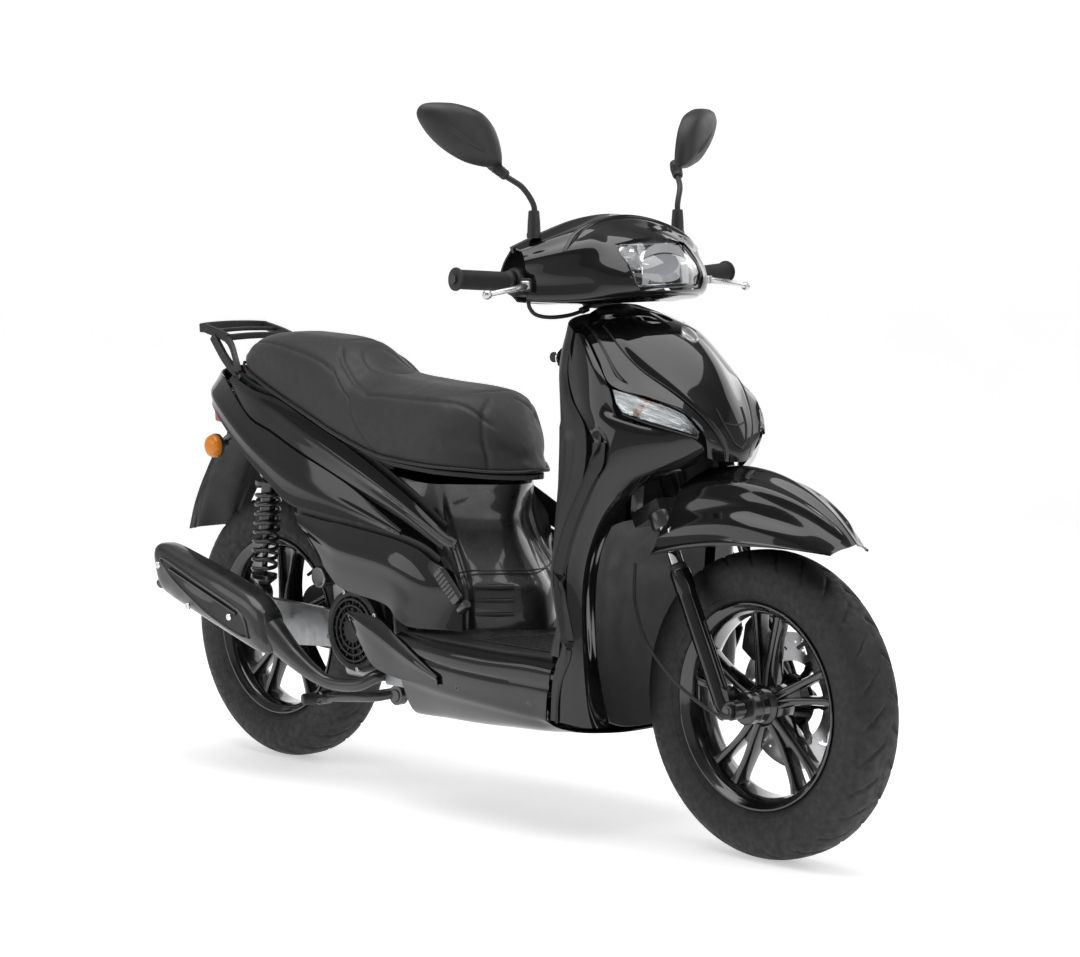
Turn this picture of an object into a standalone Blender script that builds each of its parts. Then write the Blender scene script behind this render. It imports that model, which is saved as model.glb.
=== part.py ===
"""Twin-seat step-through moped scooter, assembled from separate pieces.

Frame: +X forward, +Y the rider's left, +Z up, origin on the ground under the middle.
"""
import math

import bmesh
import bpy
import numpy as np
from mathutils import Matrix, Vector

# Running gear
WHEELBASE = 1.330
TYRE_RADIUS = 0.268
TYRE_HALF_WIDTH = 0.053
TREAD_HALF_FLAT = 0.022
BEAD_RADIUS = 0.179
FRONT_AXLE = (WHEELBASE / 2, 0.0, TYRE_RADIUS)
REAR_AXLE = (-WHEELBASE / 2, 0.0, TYRE_RADIUS)
SPOKES = 5
DISC_RADIUS = 0.120
DISC_PLANE = 0.060

# Steering geometry
RAKE = math.radians(26.0)
HEAD_X_AT_TOP = 0.275
HEAD_TOP_Z = 0.930
AXIS_UP = (-math.sin(RAKE), 0.0, math.cos(RAKE))
LEG_X_AT_FOOT = 0.650
LEG_FOOT_Z = 0.250
LEG_SPREAD = 0.088
LEG_RADIUS = 0.0170

# Bodywork
PANEL = 0.0025
SEAM = 0.0015

# Colours: base colour, roughness, metallic
PAINTS = {
    "gloss_black": ((0.008, 0.008, 0.009), 0.08, 0.0),
    "matte_black": ((0.018, 0.018, 0.019), 0.55, 0.0),
    "frame_paint": ((0.012, 0.012, 0.013), 0.35, 0.0),
    "alloy_black": ((0.010, 0.010, 0.011), 0.18, 0.4),
    "tyre_rubber": ((0.020, 0.020, 0.021), 0.75, 0.0),
    "grip_rubber": ((0.015, 0.015, 0.016), 0.65, 0.0),
    "seat_vinyl": ((0.030, 0.030, 0.032), 0.60, 0.0),
    "bare_alloy": ((0.560, 0.565, 0.575), 0.30, 1.0),
    "disc_steel": ((0.600, 0.600, 0.610), 0.28, 1.0),
    "chrome_part": ((0.780, 0.780, 0.790), 0.08, 1.0),
    "clear_lens": ((0.850, 0.870, 0.890), 0.04, 0.0),
    "amber_lens": ((0.900, 0.420, 0.050), 0.15, 0.0),
    "red_lens": ((0.450, 0.020, 0.015), 0.12, 0.0),
    "dark_exhaust": ((0.025, 0.025, 0.027), 0.45, 0.3),
}


def clear_scene():
    """Start from an empty scene."""
    for item in list(bpy.data.objects):
        bpy.data.objects.remove(item, do_unlink=True)


def paint(name, slot):
    """One Principled material for each piece."""
    colour, roughness, metallic = PAINTS[slot]
    mat = bpy.data.materials.new(name + "_" + slot)
    mat.use_nodes = True
    surface = mat.node_tree.nodes["Principled BSDF"]
    surface.inputs["Base Color"].default_value = (*colour, 1.0)
    surface.inputs["Roughness"].default_value = roughness
    surface.inputs["Metallic"].default_value = metallic
    return mat


def mesh_object(name, solid):
    """Make an object from one closed solid, its faces pointing out."""
    points, faces = solid
    mesh = bpy.data.meshes.new(name)
    mesh.from_pydata([tuple(map(float, p)) for p in points], [], faces)
    work = bmesh.new()
    work.from_mesh(mesh)
    bmesh.ops.recalc_face_normals(work, faces=work.faces)
    if work.calc_volume(signed=True) < 0:
        bmesh.ops.reverse_faces(work, faces=work.faces)
    work.to_mesh(mesh)
    work.free()
    item = bpy.data.objects.new(name, mesh)
    bpy.context.scene.collection.objects.link(item)
    return item


def boolean(base, tool, operation):
    """Join or cut two objects for good and drop the tool."""
    step = base.modifiers.new("step", "BOOLEAN")
    step.operation = operation
    step.solver = "EXACT"
    step.object = tool
    graph = bpy.context.evaluated_depsgraph_get()
    graph.update()
    result = bpy.data.meshes.new_from_object(base.evaluated_get(graph))
    base.modifiers.clear()
    base.data = result
    bpy.data.objects.remove(tool, do_unlink=True)
    return base


def piece(name, slot, solids, cuts=(), pivot=(0.0, 0.0, 0.0)):
    """Union the solids, take away the cuts, set the pivot and the paint."""
    item = mesh_object(name, solids[0])
    for number, solid in enumerate(solids[1:]):
        boolean(item, mesh_object(name + "_join" + str(number), solid), "UNION")
    for number, solid in enumerate(cuts):
        boolean(item, mesh_object(name + "_cut" + str(number), solid), "DIFFERENCE")
    item.data.transform(Matrix.Translation(-Vector(pivot)))
    item.location = pivot
    item.data.materials.clear()
    item.data.materials.append(paint(name, slot))
    item.data.shade_smooth()
    item.data.set_sharp_from_angle(angle=math.radians(35.0))
    return item


def mirrored(solid):
    """The same solid on the other side of the middle plane."""
    points, faces = solid
    return [(p[0], -p[1], p[2]) for p in points], [tuple(reversed(f)) for f in faces]


def head_axis(z, ahead=0.0, side=0.0):
    """Point on the steering axis at height z, moved ahead square to the axis."""
    x = HEAD_X_AT_TOP + (HEAD_TOP_Z - z) * math.tan(RAKE)
    return (x + ahead * math.cos(RAKE), side, z + ahead * math.sin(RAKE))


def fork_leg(z, side=0.0):
    """Point on a fork leg's centre line at height z."""
    return (LEG_X_AT_FOOT + (LEG_FOOT_Z - z) * math.tan(RAKE), side, z)


def resample(points, count):
    """Smooth curve through the points, read at evenly spaced steps."""
    points = np.asarray(points, float)
    last = len(points) - 1
    if last == 1:
        return np.array([points[0] + (points[1] - points[0]) * k / (count - 1) for k in range(count)])
    curve = []
    for k in range(count):
        t = k * last / (count - 1)
        i = min(int(t), last - 1)
        f = t - i
        b = points[i]
        c = points[i + 1]
        a = points[i - 1] if i > 0 else 2 * b - c
        d = points[i + 2] if i + 2 <= last else 2 * c - b
        curve.append(0.5 * (2 * b + (c - a) * f + (2 * a - 5 * b + 4 * c - d) * f ** 2
                            + (3 * b - a - 3 * c + d) * f ** 3))
    return np.array(curve)


def surface(control, rows, columns):
    """Smooth surface through a grid of points."""
    grid = resample(control, rows)
    return resample(grid.swapaxes(0, 1), columns).swapaxes(0, 1)


def symmetric(half):
    """Complete rows that run from the right edge to the middle with their mirror image."""
    return [list(row) + [(p[0], -p[1], p[2]) for p in reversed(row[:-1])] for row in half]


def shell(control, inside, thickness=PANEL, rows=9, columns=5, seam=SEAM):
    """Panel of even thickness on a smooth surface; its back faces the inside point."""
    outer = surface(control, rows, columns)
    for axis in (0, 1):
        view = outer.swapaxes(0, axis)
        for edge, near in ((0, 1), (-1, -2)):
            step = view[near] - view[edge]
            length = np.linalg.norm(step, axis=1, keepdims=True)
            view[edge] = view[edge] + step / np.maximum(length, 1e-9) * seam
    normal = np.cross(np.gradient(outer, axis=0), np.gradient(outer, axis=1))
    normal = normal / np.maximum(np.linalg.norm(normal, axis=2, keepdims=True), 1e-9)
    outward = outer - np.array(inside)
    if np.sum(normal * outward) < 0:
        normal = -normal
    back = outer - normal * thickness
    points = list(outer.reshape(-1, 3)) + list(back.reshape(-1, 3))
    offset = rows * columns
    faces = []
    for r in range(rows - 1):
        for c in range(columns - 1):
            a = r * columns + c
            faces.append((a, a + 1, a + columns + 1, a + columns))
            faces.append((a + offset, a + columns + offset, a + columns + 1 + offset, a + 1 + offset))
    rim = [c for c in range(columns)]
    rim += [r * columns + columns - 1 for r in range(1, rows)]
    rim += [(rows - 1) * columns + c for c in range(columns - 2, -1, -1)]
    rim += [r * columns for r in range(rows - 2, 0, -1)]
    for k, a in enumerate(rim):
        b = rim[(k + 1) % len(rim)]
        faces.append((a, a + offset, b + offset, b))
    return points, faces


def loft(sections, closed=False):
    """Skin between equal-sized loops, capped unless the run closes on itself."""
    count = len(sections[0])
    points = [tuple(p) for loop in sections for p in loop]
    faces = []
    runs = len(sections) if closed else len(sections) - 1
    for s in range(runs):
        base = s * count
        after = ((s + 1) % len(sections)) * count
        for k in range(count):
            m = (k + 1) % count
            faces.append((base + k, base + m, after + m, after + k))
    if not closed:
        faces.append(tuple(reversed(range(count))))
        faces.append(tuple(range((len(sections) - 1) * count, len(sections) * count)))
    return points, faces


def tube(path, radius, sides=8, closed=False, smooth=0):
    """Round bar along a path; the radius may change from point to point."""
    path = [Vector(p) for p in (resample(path, smooth) if smooth else path)]
    radii = [radius] * len(path) if isinstance(radius, float) else list(resample([(r,) for r in radius],
                                                                                  len(path))[:, 0])
    loops = []
    up = None
    for k, centre in enumerate(path):
        if closed:
            along = path[(k + 1) % len(path)] - path[k - 1]
        else:
            along = path[min(k + 1, len(path) - 1)] - path[max(k - 1, 0)]
        along.normalize()
        if up is None:
            up = along.orthogonal()
        up = (up - along * up.dot(along)).normalized()
        side = along.cross(up)
        loops.append([centre + (up * math.cos(a) + side * math.sin(a)) * radii[k]
                      for a in (2 * math.pi * (s + 0.5) / sides for s in range(sides))])
    return loft(loops, closed)


def turned(profile, centre, axis, sides=24, ring=False):
    """Solid of revolution. The profile lists (radius, distance along the axis)."""
    axis = Vector(axis).normalized()
    first = axis.orthogonal().normalized()
    second = axis.cross(first)
    centre = Vector(centre)
    loops = []
    for radius, along in profile:
        loops.append([centre + axis * along + (first * math.cos(a) + second * math.sin(a)) * radius
                      for a in (2 * math.pi * s / sides for s in range(sides))])
    return loft(loops, ring)


def slab(outline, axis, low, high):
    """Flat outline pushed out along one of the axes, 0, 1 or 2, between two heights."""
    def place(p, h):
        q = list(p)
        q.insert(axis, h)
        return tuple(q)
    return loft([[place(p, low) for p in outline], [place(p, high) for p in outline]])


def box(centre, size):
    """Plain block."""
    x, y, z = (s / 2 for s in size)
    outline = [(centre[0] - x, centre[1] - y), (centre[0] + x, centre[1] - y),
               (centre[0] + x, centre[1] + y), (centre[0] - x, centre[1] + y)]
    return slab(outline, 2, centre[2] - z, centre[2] + z)


def build_frame():
    """Welded tube frame with the head tube and the engine pivot bar."""
    solids = [turned([(0.0215, 0.0), (0.030, 0.0), (0.030, 0.200), (0.0215, 0.200)],
                     head_axis(0.675), AXIS_UP, 16, ring=True)]
    solids.append(tube([(0.341, 0, 0.708), (0.322, 0, 0.500), (0.312, 0, 0.330), (0.290, 0, 0.268)], 0.016))
    solids.append(tube([(0.285, -0.100, 0.262), (0.285, 0.100, 0.262)], 0.012))
    rail = [(0.288, -0.095, 0.262), (0.235, -0.100, 0.228), (-0.060, -0.100, 0.228), (-0.125, -0.112, 0.270),
            (-0.160, -0.122, 0.335), (-0.215, -0.130, 0.450), (-0.290, -0.130, 0.525), (-0.550, -0.112, 0.622),
            (-0.770, -0.085, 0.690)]
    solids.append(tube(rail, 0.011))
    solids.append(mirrored(tube(rail, 0.011)))
    solids.append(tube([(-0.160, -0.122, 0.335), (-0.160, 0.122, 0.335)], 0.010))
    solids.append(tube([(-0.430, -0.121, 0.577), (-0.430, 0.121, 0.577)], 0.009))
    solids.append(tube([(-0.750, -0.087, 0.684), (-0.750, 0.087, 0.684)], 0.009))
    piece("frame", "frame_paint", solids)


NOSE = [
    [(0.300, -0.118, 0.906), (0.296, -0.085, 0.930), (0.292, -0.045, 0.944), (0.291, 0, 0.948)],
    [(0.338, -0.127, 0.896), (0.352, -0.100, 0.912), (0.362, -0.055, 0.926), (0.372, 0, 0.930)],
    [(0.380, -0.140, 0.858), (0.400, -0.110, 0.878), (0.428, -0.056, 0.900), (0.458, 0, 0.897)],
    [(0.424, -0.150, 0.814), (0.455, -0.113, 0.832), (0.490, -0.057, 0.848), (0.522, 0, 0.842)],
    [(0.496, -0.124, 0.794), (0.515, -0.100, 0.797), (0.536, -0.052, 0.790), (0.560, 0, 0.785)],
    [(0.543, -0.095, 0.773), (0.552, -0.075, 0.765), (0.568, -0.045, 0.748), (0.578, 0, 0.742)],
    [(0.571, -0.071, 0.732), (0.575, -0.058, 0.725), (0.582, -0.032, 0.713), (0.588, 0, 0.706)],
    [(0.566, -0.056, 0.690), (0.572, -0.046, 0.686), (0.580, -0.025, 0.683), (0.585, 0, 0.682)],
]
APRON = [
    [(0.298, -0.124, 0.899), (0.310, -0.127, 0.900), (0.322, -0.128, 0.900), (0.334, -0.128, 0.897)],
    [(0.300, -0.136, 0.835), (0.340, -0.147, 0.845), (0.378, -0.152, 0.842), (0.418, -0.152, 0.812)],
    [(0.330, -0.150, 0.783), (0.370, -0.163, 0.784), (0.410, -0.165, 0.776), (0.447, -0.153, 0.757)],
    [(0.383, -0.171, 0.745), (0.420, -0.174, 0.750), (0.460, -0.160, 0.752), (0.500, -0.133, 0.746)],
    [(0.412, -0.182, 0.715), (0.455, -0.174, 0.718), (0.510, -0.140, 0.722), (0.565, -0.082, 0.722)],
    [(0.415, -0.190, 0.680), (0.450, -0.176, 0.675), (0.500, -0.135, 0.672), (0.553, -0.062, 0.684)],
    [(0.404, -0.197, 0.645), (0.425, -0.183, 0.640), (0.447, -0.157, 0.636), (0.462, -0.118, 0.634)],
    [(0.372, -0.214, 0.560), (0.392, -0.197, 0.556), (0.405, -0.171, 0.551), (0.404, -0.140, 0.546)],
    [(0.357, -0.224, 0.474), (0.377, -0.206, 0.472), (0.388, -0.179, 0.470), (0.386, -0.147, 0.468)],
    [(0.377, -0.223, 0.365), (0.389, -0.206, 0.365), (0.391, -0.177, 0.365), (0.382, -0.146, 0.365)],
    [(0.352, -0.222, 0.300), (0.384, -0.205, 0.287), (0.396, -0.172, 0.275), (0.390, -0.136, 0.270)],
    [(0.335, -0.212, 0.222), (0.370, -0.195, 0.216), (0.395, -0.165, 0.210), (0.402, -0.128, 0.207)],
]
INDICATOR = [
    [(0.427, -0.151, 0.807), (0.439, -0.154, 0.786), (0.456, -0.152, 0.765)],
    [(0.496, -0.126, 0.789), (0.503, -0.134, 0.768), (0.502, -0.133, 0.751)],
    [(0.543, -0.097, 0.768), (0.547, -0.103, 0.752), (0.545, -0.103, 0.737)],
    [(0.567, -0.077, 0.735), (0.569, -0.080, 0.731), (0.567, -0.081, 0.727)],
]
LEG_SHIELD = [
    [(0.291, -0.116, 0.903), (0.262, -0.100, 0.915), (0.240, -0.060, 0.925), (0.230, 0, 0.930)],
    [(0.296, -0.133, 0.837), (0.270, -0.128, 0.840), (0.225, -0.080, 0.850), (0.205, 0, 0.850)],
    [(0.318, -0.144, 0.787), (0.298, -0.149, 0.778), (0.245, -0.100, 0.770), (0.200, 0, 0.765)],
    [(0.377, -0.166, 0.731), (0.318, -0.160, 0.725), (0.255, -0.110, 0.700), (0.200, 0, 0.690)],
    [(0.396, -0.192, 0.648), (0.325, -0.178, 0.648), (0.265, -0.120, 0.630), (0.205, 0, 0.620)],
    [(0.369, -0.213, 0.562), (0.328, -0.200, 0.565), (0.275, -0.130, 0.550), (0.215, 0, 0.540)],
    [(0.353, -0.222, 0.478), (0.333, -0.212, 0.478), (0.280, -0.140, 0.470), (0.230, 0, 0.460)],
    [(0.371, -0.221, 0.400), (0.345, -0.211, 0.400), (0.292, -0.140, 0.395), (0.248, 0, 0.385)],
    [(0.364, -0.218, 0.337), (0.332, -0.208, 0.338), (0.288, -0.140, 0.338), (0.256, 0, 0.338)],
]
LINER = [
    [(0.390, -0.128, 0.560), (0.373, -0.070, 0.567), (0.368, 0, 0.569)],
    [(0.374, -0.136, 0.470), (0.352, -0.080, 0.470), (0.347, 0, 0.470)],
    [(0.370, -0.134, 0.360), (0.352, -0.080, 0.360), (0.345, 0, 0.360)],
    [(0.378, -0.126, 0.260), (0.362, -0.070, 0.255), (0.356, 0, 0.250)],
    [(0.390, -0.118, 0.214), (0.378, -0.070, 0.200), (0.372, 0, 0.195)],
]
BELLY = [
    [(-0.100, -0.186, 0.332), (-0.100, -0.203, 0.318), (-0.081, -0.205, 0.255), (-0.103, -0.150, 0.175),
     (-0.103, -0.070, 0.166), (-0.103, 0, 0.164)],
    [(0.020, -0.208, 0.328), (0.024, -0.222, 0.306), (0.038, -0.211, 0.240), (0.050, -0.162, 0.178),
     (0.050, -0.080, 0.168), (0.050, 0, 0.166)],
    [(0.165, -0.211, 0.326), (0.165, -0.225, 0.302), (0.180, -0.215, 0.232), (0.172, -0.172, 0.186),
     (0.172, -0.080, 0.171), (0.172, 0, 0.169)],
    [(0.275, -0.212, 0.326), (0.275, -0.225, 0.304), (0.275, -0.214, 0.226), (0.275, -0.178, 0.192),
     (0.275, -0.080, 0.177), (0.275, 0, 0.175)],
    [(0.347, -0.210, 0.325), (0.347, -0.223, 0.302), (0.330, -0.212, 0.224), (0.345, -0.165, 0.198),
     (0.352, -0.080, 0.186), (0.354, 0, 0.183)],
]
SEAT_POST = [
    [(-0.205, -0.136, 0.618), (-0.100, -0.134, 0.607), (-0.050, -0.100, 0.605), (0.010, -0.048, 0.605),
     (0.035, 0, 0.605)],
    [(-0.110, -0.146, 0.578), (-0.080, -0.134, 0.575), (-0.055, -0.098, 0.573), (-0.002, -0.045, 0.572),
     (0.024, 0, 0.571)],
    [(-0.060, -0.150, 0.536), (-0.062, -0.128, 0.534), (-0.058, -0.092, 0.532), (-0.012, -0.042, 0.530),
     (0.012, 0, 0.530)],
    [(-0.040, -0.145, 0.482), (-0.034, -0.126, 0.480), (-0.028, -0.094, 0.477), (0.018, -0.048, 0.474),
     (0.042, 0, 0.472)],
    [(-0.020, -0.140, 0.436), (-0.008, -0.130, 0.436), (0.000, -0.100, 0.436), (0.048, -0.050, 0.436),
     (0.072, 0, 0.436)],
    [(-0.010, -0.140, 0.405), (0.008, -0.132, 0.405), (0.018, -0.104, 0.405), (0.070, -0.052, 0.405),
     (0.098, 0, 0.405)],
    [(-0.005, -0.140, 0.338), (0.012, -0.134, 0.338), (0.022, -0.106, 0.338), (0.074, -0.053, 0.338),
     (0.104, 0, 0.338)],
]
SIDE_COVER = [
    [(-0.726, -0.108, 0.768), (-0.724, -0.107, 0.772), (-0.720, -0.105, 0.777)],
    [(-0.632, -0.132, 0.704), (-0.630, -0.131, 0.732), (-0.628, -0.123, 0.754)],
    [(-0.546, -0.141, 0.677), (-0.545, -0.138, 0.710), (-0.540, -0.126, 0.738)],
    [(-0.453, -0.148, 0.645), (-0.452, -0.147, 0.680), (-0.449, -0.133, 0.708)],
    [(-0.292, -0.154, 0.593), (-0.290, -0.156, 0.626), (-0.285, -0.143, 0.652)],
    [(-0.133, -0.163, 0.547), (-0.130, -0.165, 0.568), (-0.125, -0.155, 0.586)],
    [(-0.007, -0.168, 0.500), (-0.008, -0.168, 0.515), (-0.010, -0.165, 0.530)],
    [(0.028, -0.163, 0.496), (0.030, -0.163, 0.503), (0.032, -0.161, 0.510)],
]
TAIL_WING = [
    [(-0.121, -0.170, 0.508), (-0.118, -0.171, 0.513), (-0.115, -0.171, 0.519)],
    [(-0.298, -0.172, 0.527), (-0.296, -0.166, 0.556), (-0.292, -0.154, 0.589)],
    [(-0.458, -0.166, 0.543), (-0.456, -0.163, 0.592), (-0.453, -0.148, 0.641)],
    [(-0.552, -0.156, 0.585), (-0.550, -0.153, 0.625), (-0.546, -0.141, 0.673)],
    [(-0.650, -0.141, 0.633), (-0.645, -0.140, 0.665), (-0.632, -0.132, 0.700)],
    [(-0.762, -0.112, 0.694), (-0.765, -0.110, 0.725), (-0.738, -0.107, 0.768)],
    [(-0.818, -0.080, 0.722), (-0.825, -0.076, 0.748), (-0.800, -0.070, 0.782)],
    [(-0.850, 0, 0.735), (-0.860, 0, 0.758), (-0.830, 0, 0.790)],
]
LOWER_COVER = [
    [(-0.395, -0.166, 0.470), (-0.425, -0.166, 0.500), (-0.448, -0.164, 0.526)],
    [(-0.330, -0.172, 0.414), (-0.335, -0.176, 0.465), (-0.340, -0.172, 0.518)],
    [(-0.284, -0.174, 0.390), (-0.285, -0.180, 0.450), (-0.290, -0.174, 0.516)],
    [(-0.153, -0.183, 0.376), (-0.155, -0.185, 0.440), (-0.150, -0.175, 0.503)],
    [(-0.107, -0.190, 0.352), (-0.085, -0.187, 0.420), (-0.065, -0.176, 0.488)],
    [(-0.070, -0.186, 0.341), (-0.045, -0.179, 0.403), (-0.022, -0.170, 0.466)],
    [(0.000, -0.160, 0.340), (0.004, -0.155, 0.396), (0.008, -0.154, 0.452)],
    [(0.030, -0.147, 0.339), (0.026, -0.143, 0.386), (0.020, -0.141, 0.428)],
]
COWL_FRONT = [
    [(0.232, -0.206, 1.050), (0.252, -0.150, 1.076), (0.262, -0.080, 1.098), (0.266, 0, 1.107)],
    [(0.262, -0.212, 1.040), (0.305, -0.155, 1.058), (0.345, -0.095, 1.070), (0.362, 0, 1.080)],
    [(0.276, -0.214, 1.000), (0.340, -0.165, 1.005), (0.400, -0.105, 1.012), (0.425, 0, 1.020)],
    [(0.272, -0.210, 0.962), (0.340, -0.160, 0.958), (0.408, -0.095, 0.968), (0.440, 0, 0.972)],
    [(0.252, -0.195, 0.952), (0.300, -0.140, 0.950), (0.350, -0.080, 0.951), (0.375, 0, 0.953)],
]
COWL_REAR = [
    [(0.224, -0.203, 1.048), (0.244, -0.150, 1.072), (0.254, -0.080, 1.094), (0.258, 0, 1.103)],
    [(0.198, -0.197, 1.020), (0.195, -0.130, 1.040), (0.190, -0.070, 1.055), (0.188, 0, 1.060)],
    [(0.192, -0.196, 0.985), (0.185, -0.130, 0.985), (0.180, -0.070, 0.980), (0.178, 0, 0.980)],
    [(0.226, -0.190, 0.952), (0.225, -0.130, 0.947), (0.225, -0.070, 0.946), (0.225, 0, 0.946)],
]
HEADLIGHT = [
    [(0.352, -0.087, 1.059), (0.362, -0.045, 1.065), (0.368, 0, 1.068)],
    [(0.401, -0.086, 1.014), (0.418, -0.045, 1.018), (0.424, 0, 1.020)],
    [(0.412, -0.078, 0.980), (0.431, -0.042, 0.982), (0.438, 0, 0.983)],
]
FENDER = [
    [(0.484, -0.112, 0.518), (0.504, -0.106, 0.572), (0.516, -0.080, 0.625), (0.518, -0.040, 0.655),
     (0.520, 0, 0.664)],
    [(0.560, -0.112, 0.535), (0.565, -0.106, 0.580), (0.578, -0.082, 0.630), (0.588, -0.040, 0.662),
     (0.592, 0, 0.674)],
    [(0.645, -0.106, 0.548), (0.650, -0.098, 0.590), (0.660, -0.076, 0.628), (0.668, -0.038, 0.655),
     (0.672, 0, 0.668)],
    [(0.730, -0.092, 0.552), (0.735, -0.084, 0.580), (0.742, -0.064, 0.608), (0.748, -0.032, 0.630),
     (0.752, 0, 0.640)],
    [(0.800, -0.070, 0.550), (0.803, -0.063, 0.563), (0.808, -0.048, 0.580), (0.812, -0.024, 0.594),
     (0.815, 0, 0.600)],
    [(0.842, -0.046, 0.546), (0.845, -0.040, 0.550), (0.850, -0.028, 0.555), (0.855, -0.014, 0.558),
     (0.857, 0, 0.560)],
]
MUDGUARD = [
    [(-0.755, -0.080, 0.650), (-0.772, -0.045, 0.664), (-0.775, 0, 0.666)],
    [(-0.800, -0.082, 0.622), (-0.828, -0.050, 0.644), (-0.832, 0, 0.648)],
    [(-0.848, -0.080, 0.568), (-0.872, -0.050, 0.580), (-0.876, 0, 0.583)],
    [(-0.890, -0.076, 0.505), (-0.908, -0.045, 0.512), (-0.911, 0, 0.514)],
    [(-0.922, -0.068, 0.447), (-0.930, -0.040, 0.448), (-0.931, 0, 0.448)],
]


def both_sides(name, slot, control, inside, rows, columns, thickness=PANEL):
    """The same panel on the right and on the left."""
    solid = shell(control, inside, thickness, rows, columns)
    piece(name + "_right", slot, [solid])
    piece(name + "_left", slot, [mirrored(solid)])


def build_bodywork():
    """Panels fixed to the frame."""
    piece("nose_panel", "gloss_black", [shell(symmetric(NOSE), (0.36, 0, 0.75), rows=11, columns=9)])
    both_sides("apron", "gloss_black", APRON, (0.30, -0.05, 0.60), 14, 5)
    both_sides("front_indicator", "clear_lens", INDICATOR, (0.40, -0.03, 0.72), 6, 3, 0.008)
    piece("leg_shield_inner", "matte_black", [shell(symmetric(LEG_SHIELD), (0.50, 0, 0.60), rows=12, columns=9)])
    piece("front_liner", "matte_black", [shell(symmetric(LINER), (0.0, 0, 0.40), rows=7, columns=7)])
    floor = [(0.284, -0.034), (0.320, -0.050), (0.325, -0.196), (0.200, -0.204), (0.020, -0.201),
             (-0.050, -0.188), (-0.092, -0.178)]
    floor += [(x, -y) for x, y in reversed(floor)]
    piece("floorboard", "matte_black", [slab(floor, 2, 0.310, 0.333)])
    piece("belly_pan", "gloss_black", [shell(symmetric(BELLY), (0.1, 0, 0.30), rows=6, columns=15)])
    piece("seat_post_cover", "gloss_black", [shell(symmetric(SEAT_POST), (-0.15, 0, 0.50), rows=8, columns=11)])
    both_sides("side_cover", "gloss_black", SIDE_COVER, (-0.30, 0, 0.60), 11, 4)
    tail = TAIL_WING + [[(p[0], -p[1], p[2]) for p in row] for row in reversed(TAIL_WING[:-1])]
    piece("tail_fairing", "gloss_black", [shell(tail, (-0.50, 0, 0.60), rows=17, columns=4)])
    both_sides("lower_cover", "gloss_black", LOWER_COVER, (-0.25, 0, 0.45), 11, 4)
    lens = [(-0.800, -0.072), (-0.838, -0.060), (-0.856, -0.030), (-0.860, 0.0)]
    lens += [(x, -y) for x, y in reversed(lens[:-1])]
    piece("tail_light", "red_lens", [slab(lens, 2, 0.676, 0.712)])
    piece("rear_mudguard", "matte_black", [shell(symmetric(MUDGUARD), (-0.70, 0, 0.50), 0.003, 9, 7)])
    pod = turned([(0.010, 0.0), (0.022, 0.004), (0.024, 0.014), (0.020, 0.024), (0.008, 0.028)],
                 (-0.775, -0.098, 0.631), (0, -1, 0), 16)
    stub = tube([(-0.775, -0.0845, 0.634), (-0.775, -0.102, 0.632)], 0.006)
    piece("rear_indicator_right", "amber_lens", [pod, stub])
    piece("rear_indicator_left", "amber_lens", [mirrored(pod), mirrored(stub)])
    build_rack()
    piece("helmet_box", "matte_black", [helmet_box()])
    tank = [(-0.445, 0.622), (-0.445, 0.668), (-0.620, 0.728), (-0.725, 0.748), (-0.725, 0.700), (-0.620, 0.622)]
    piece("fuel_tank", "matte_black", [slab(tank, 1, -0.072, 0.072)])


def build_rack():
    """Grab rail and carrier behind the seat."""
    def bar(path, width, depth):
        """Flat bar along a path, its broad face upright."""
        loops = []
        for k, p in enumerate(path):
            a = np.array(path[max(k - 1, 0)])
            b = np.array(path[min(k + 1, len(path) - 1)])
            along = b - a
            across = np.array([-along[1], along[0], 0.0])
            across = across / np.linalg.norm(across) * width / 2
            upright = np.cross(along, across)
            upright = upright / np.linalg.norm(upright) * depth / 2
            p = np.array(p)
            loops.append([p - across - upright, p + across - upright, p + across + upright, p - across + upright])
        return loft(loops)

    side = [(-0.852, -0.078, 0.868), (-0.800, -0.079, 0.858), (-0.765, -0.080, 0.849)]
    rear_leg = [(-0.812, -0.082, 0.852), (-0.790, -0.084, 0.830), (-0.763, -0.087, 0.806),
                (-0.727, -0.091, 0.784), (-0.690, -0.095, 0.768), (-0.655, -0.098, 0.758)]
    front_leg = [(-0.768, -0.081, 0.848), (-0.752, -0.083, 0.838), (-0.738, -0.087, 0.824),
                 (-0.722, -0.093, 0.805), (-0.708, -0.096, 0.782)]
    solids = [bar([(-0.852, -0.084, 0.868), (-0.860, 0.0, 0.870), (-0.852, 0.084, 0.868)], 0.012, 0.018)]
    for path, width, depth in ((side, 0.011, 0.018), (rear_leg, 0.011, 0.016), (front_leg, 0.010, 0.014)):
        solids.append(bar(path, width, depth))
        solids.append(mirrored(bar(path, width, depth)))
    solids.append(bar([(-0.772, -0.082, 0.850), (-0.778, 0.0, 0.852), (-0.772, 0.082, 0.850)], 0.012, 0.012))
    solids.append(bar([(-0.812, -0.080, 0.862), (-0.816, 0.0, 0.864), (-0.812, 0.080, 0.862)], 0.014, 0.008))
    piece("luggage_rack", "matte_black", solids)


def helmet_box():
    """Open tub under the seat."""
    def outline(front, rear, half, z, inset):
        corner = 0.035
        right = [(front - inset, -(half - corner)), (front - corner, -(half - inset)),
                 (rear + corner, -(half - inset)), (rear + inset, -(half - corner))]
        loop = right + [(x, -y) for x, y in reversed(right)]
        return [(x, y, z) for x, y in loop]
    wall = 0.003
    return loft([outline(-0.095, -0.350, 0.092, 0.440, 0.0), outline(-0.055, -0.400, 0.112, 0.600, 0.0),
                 outline(-0.055, -0.400, 0.112, 0.600, wall), outline(-0.095, -0.350, 0.092, 0.440 + wall, wall)])


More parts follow.
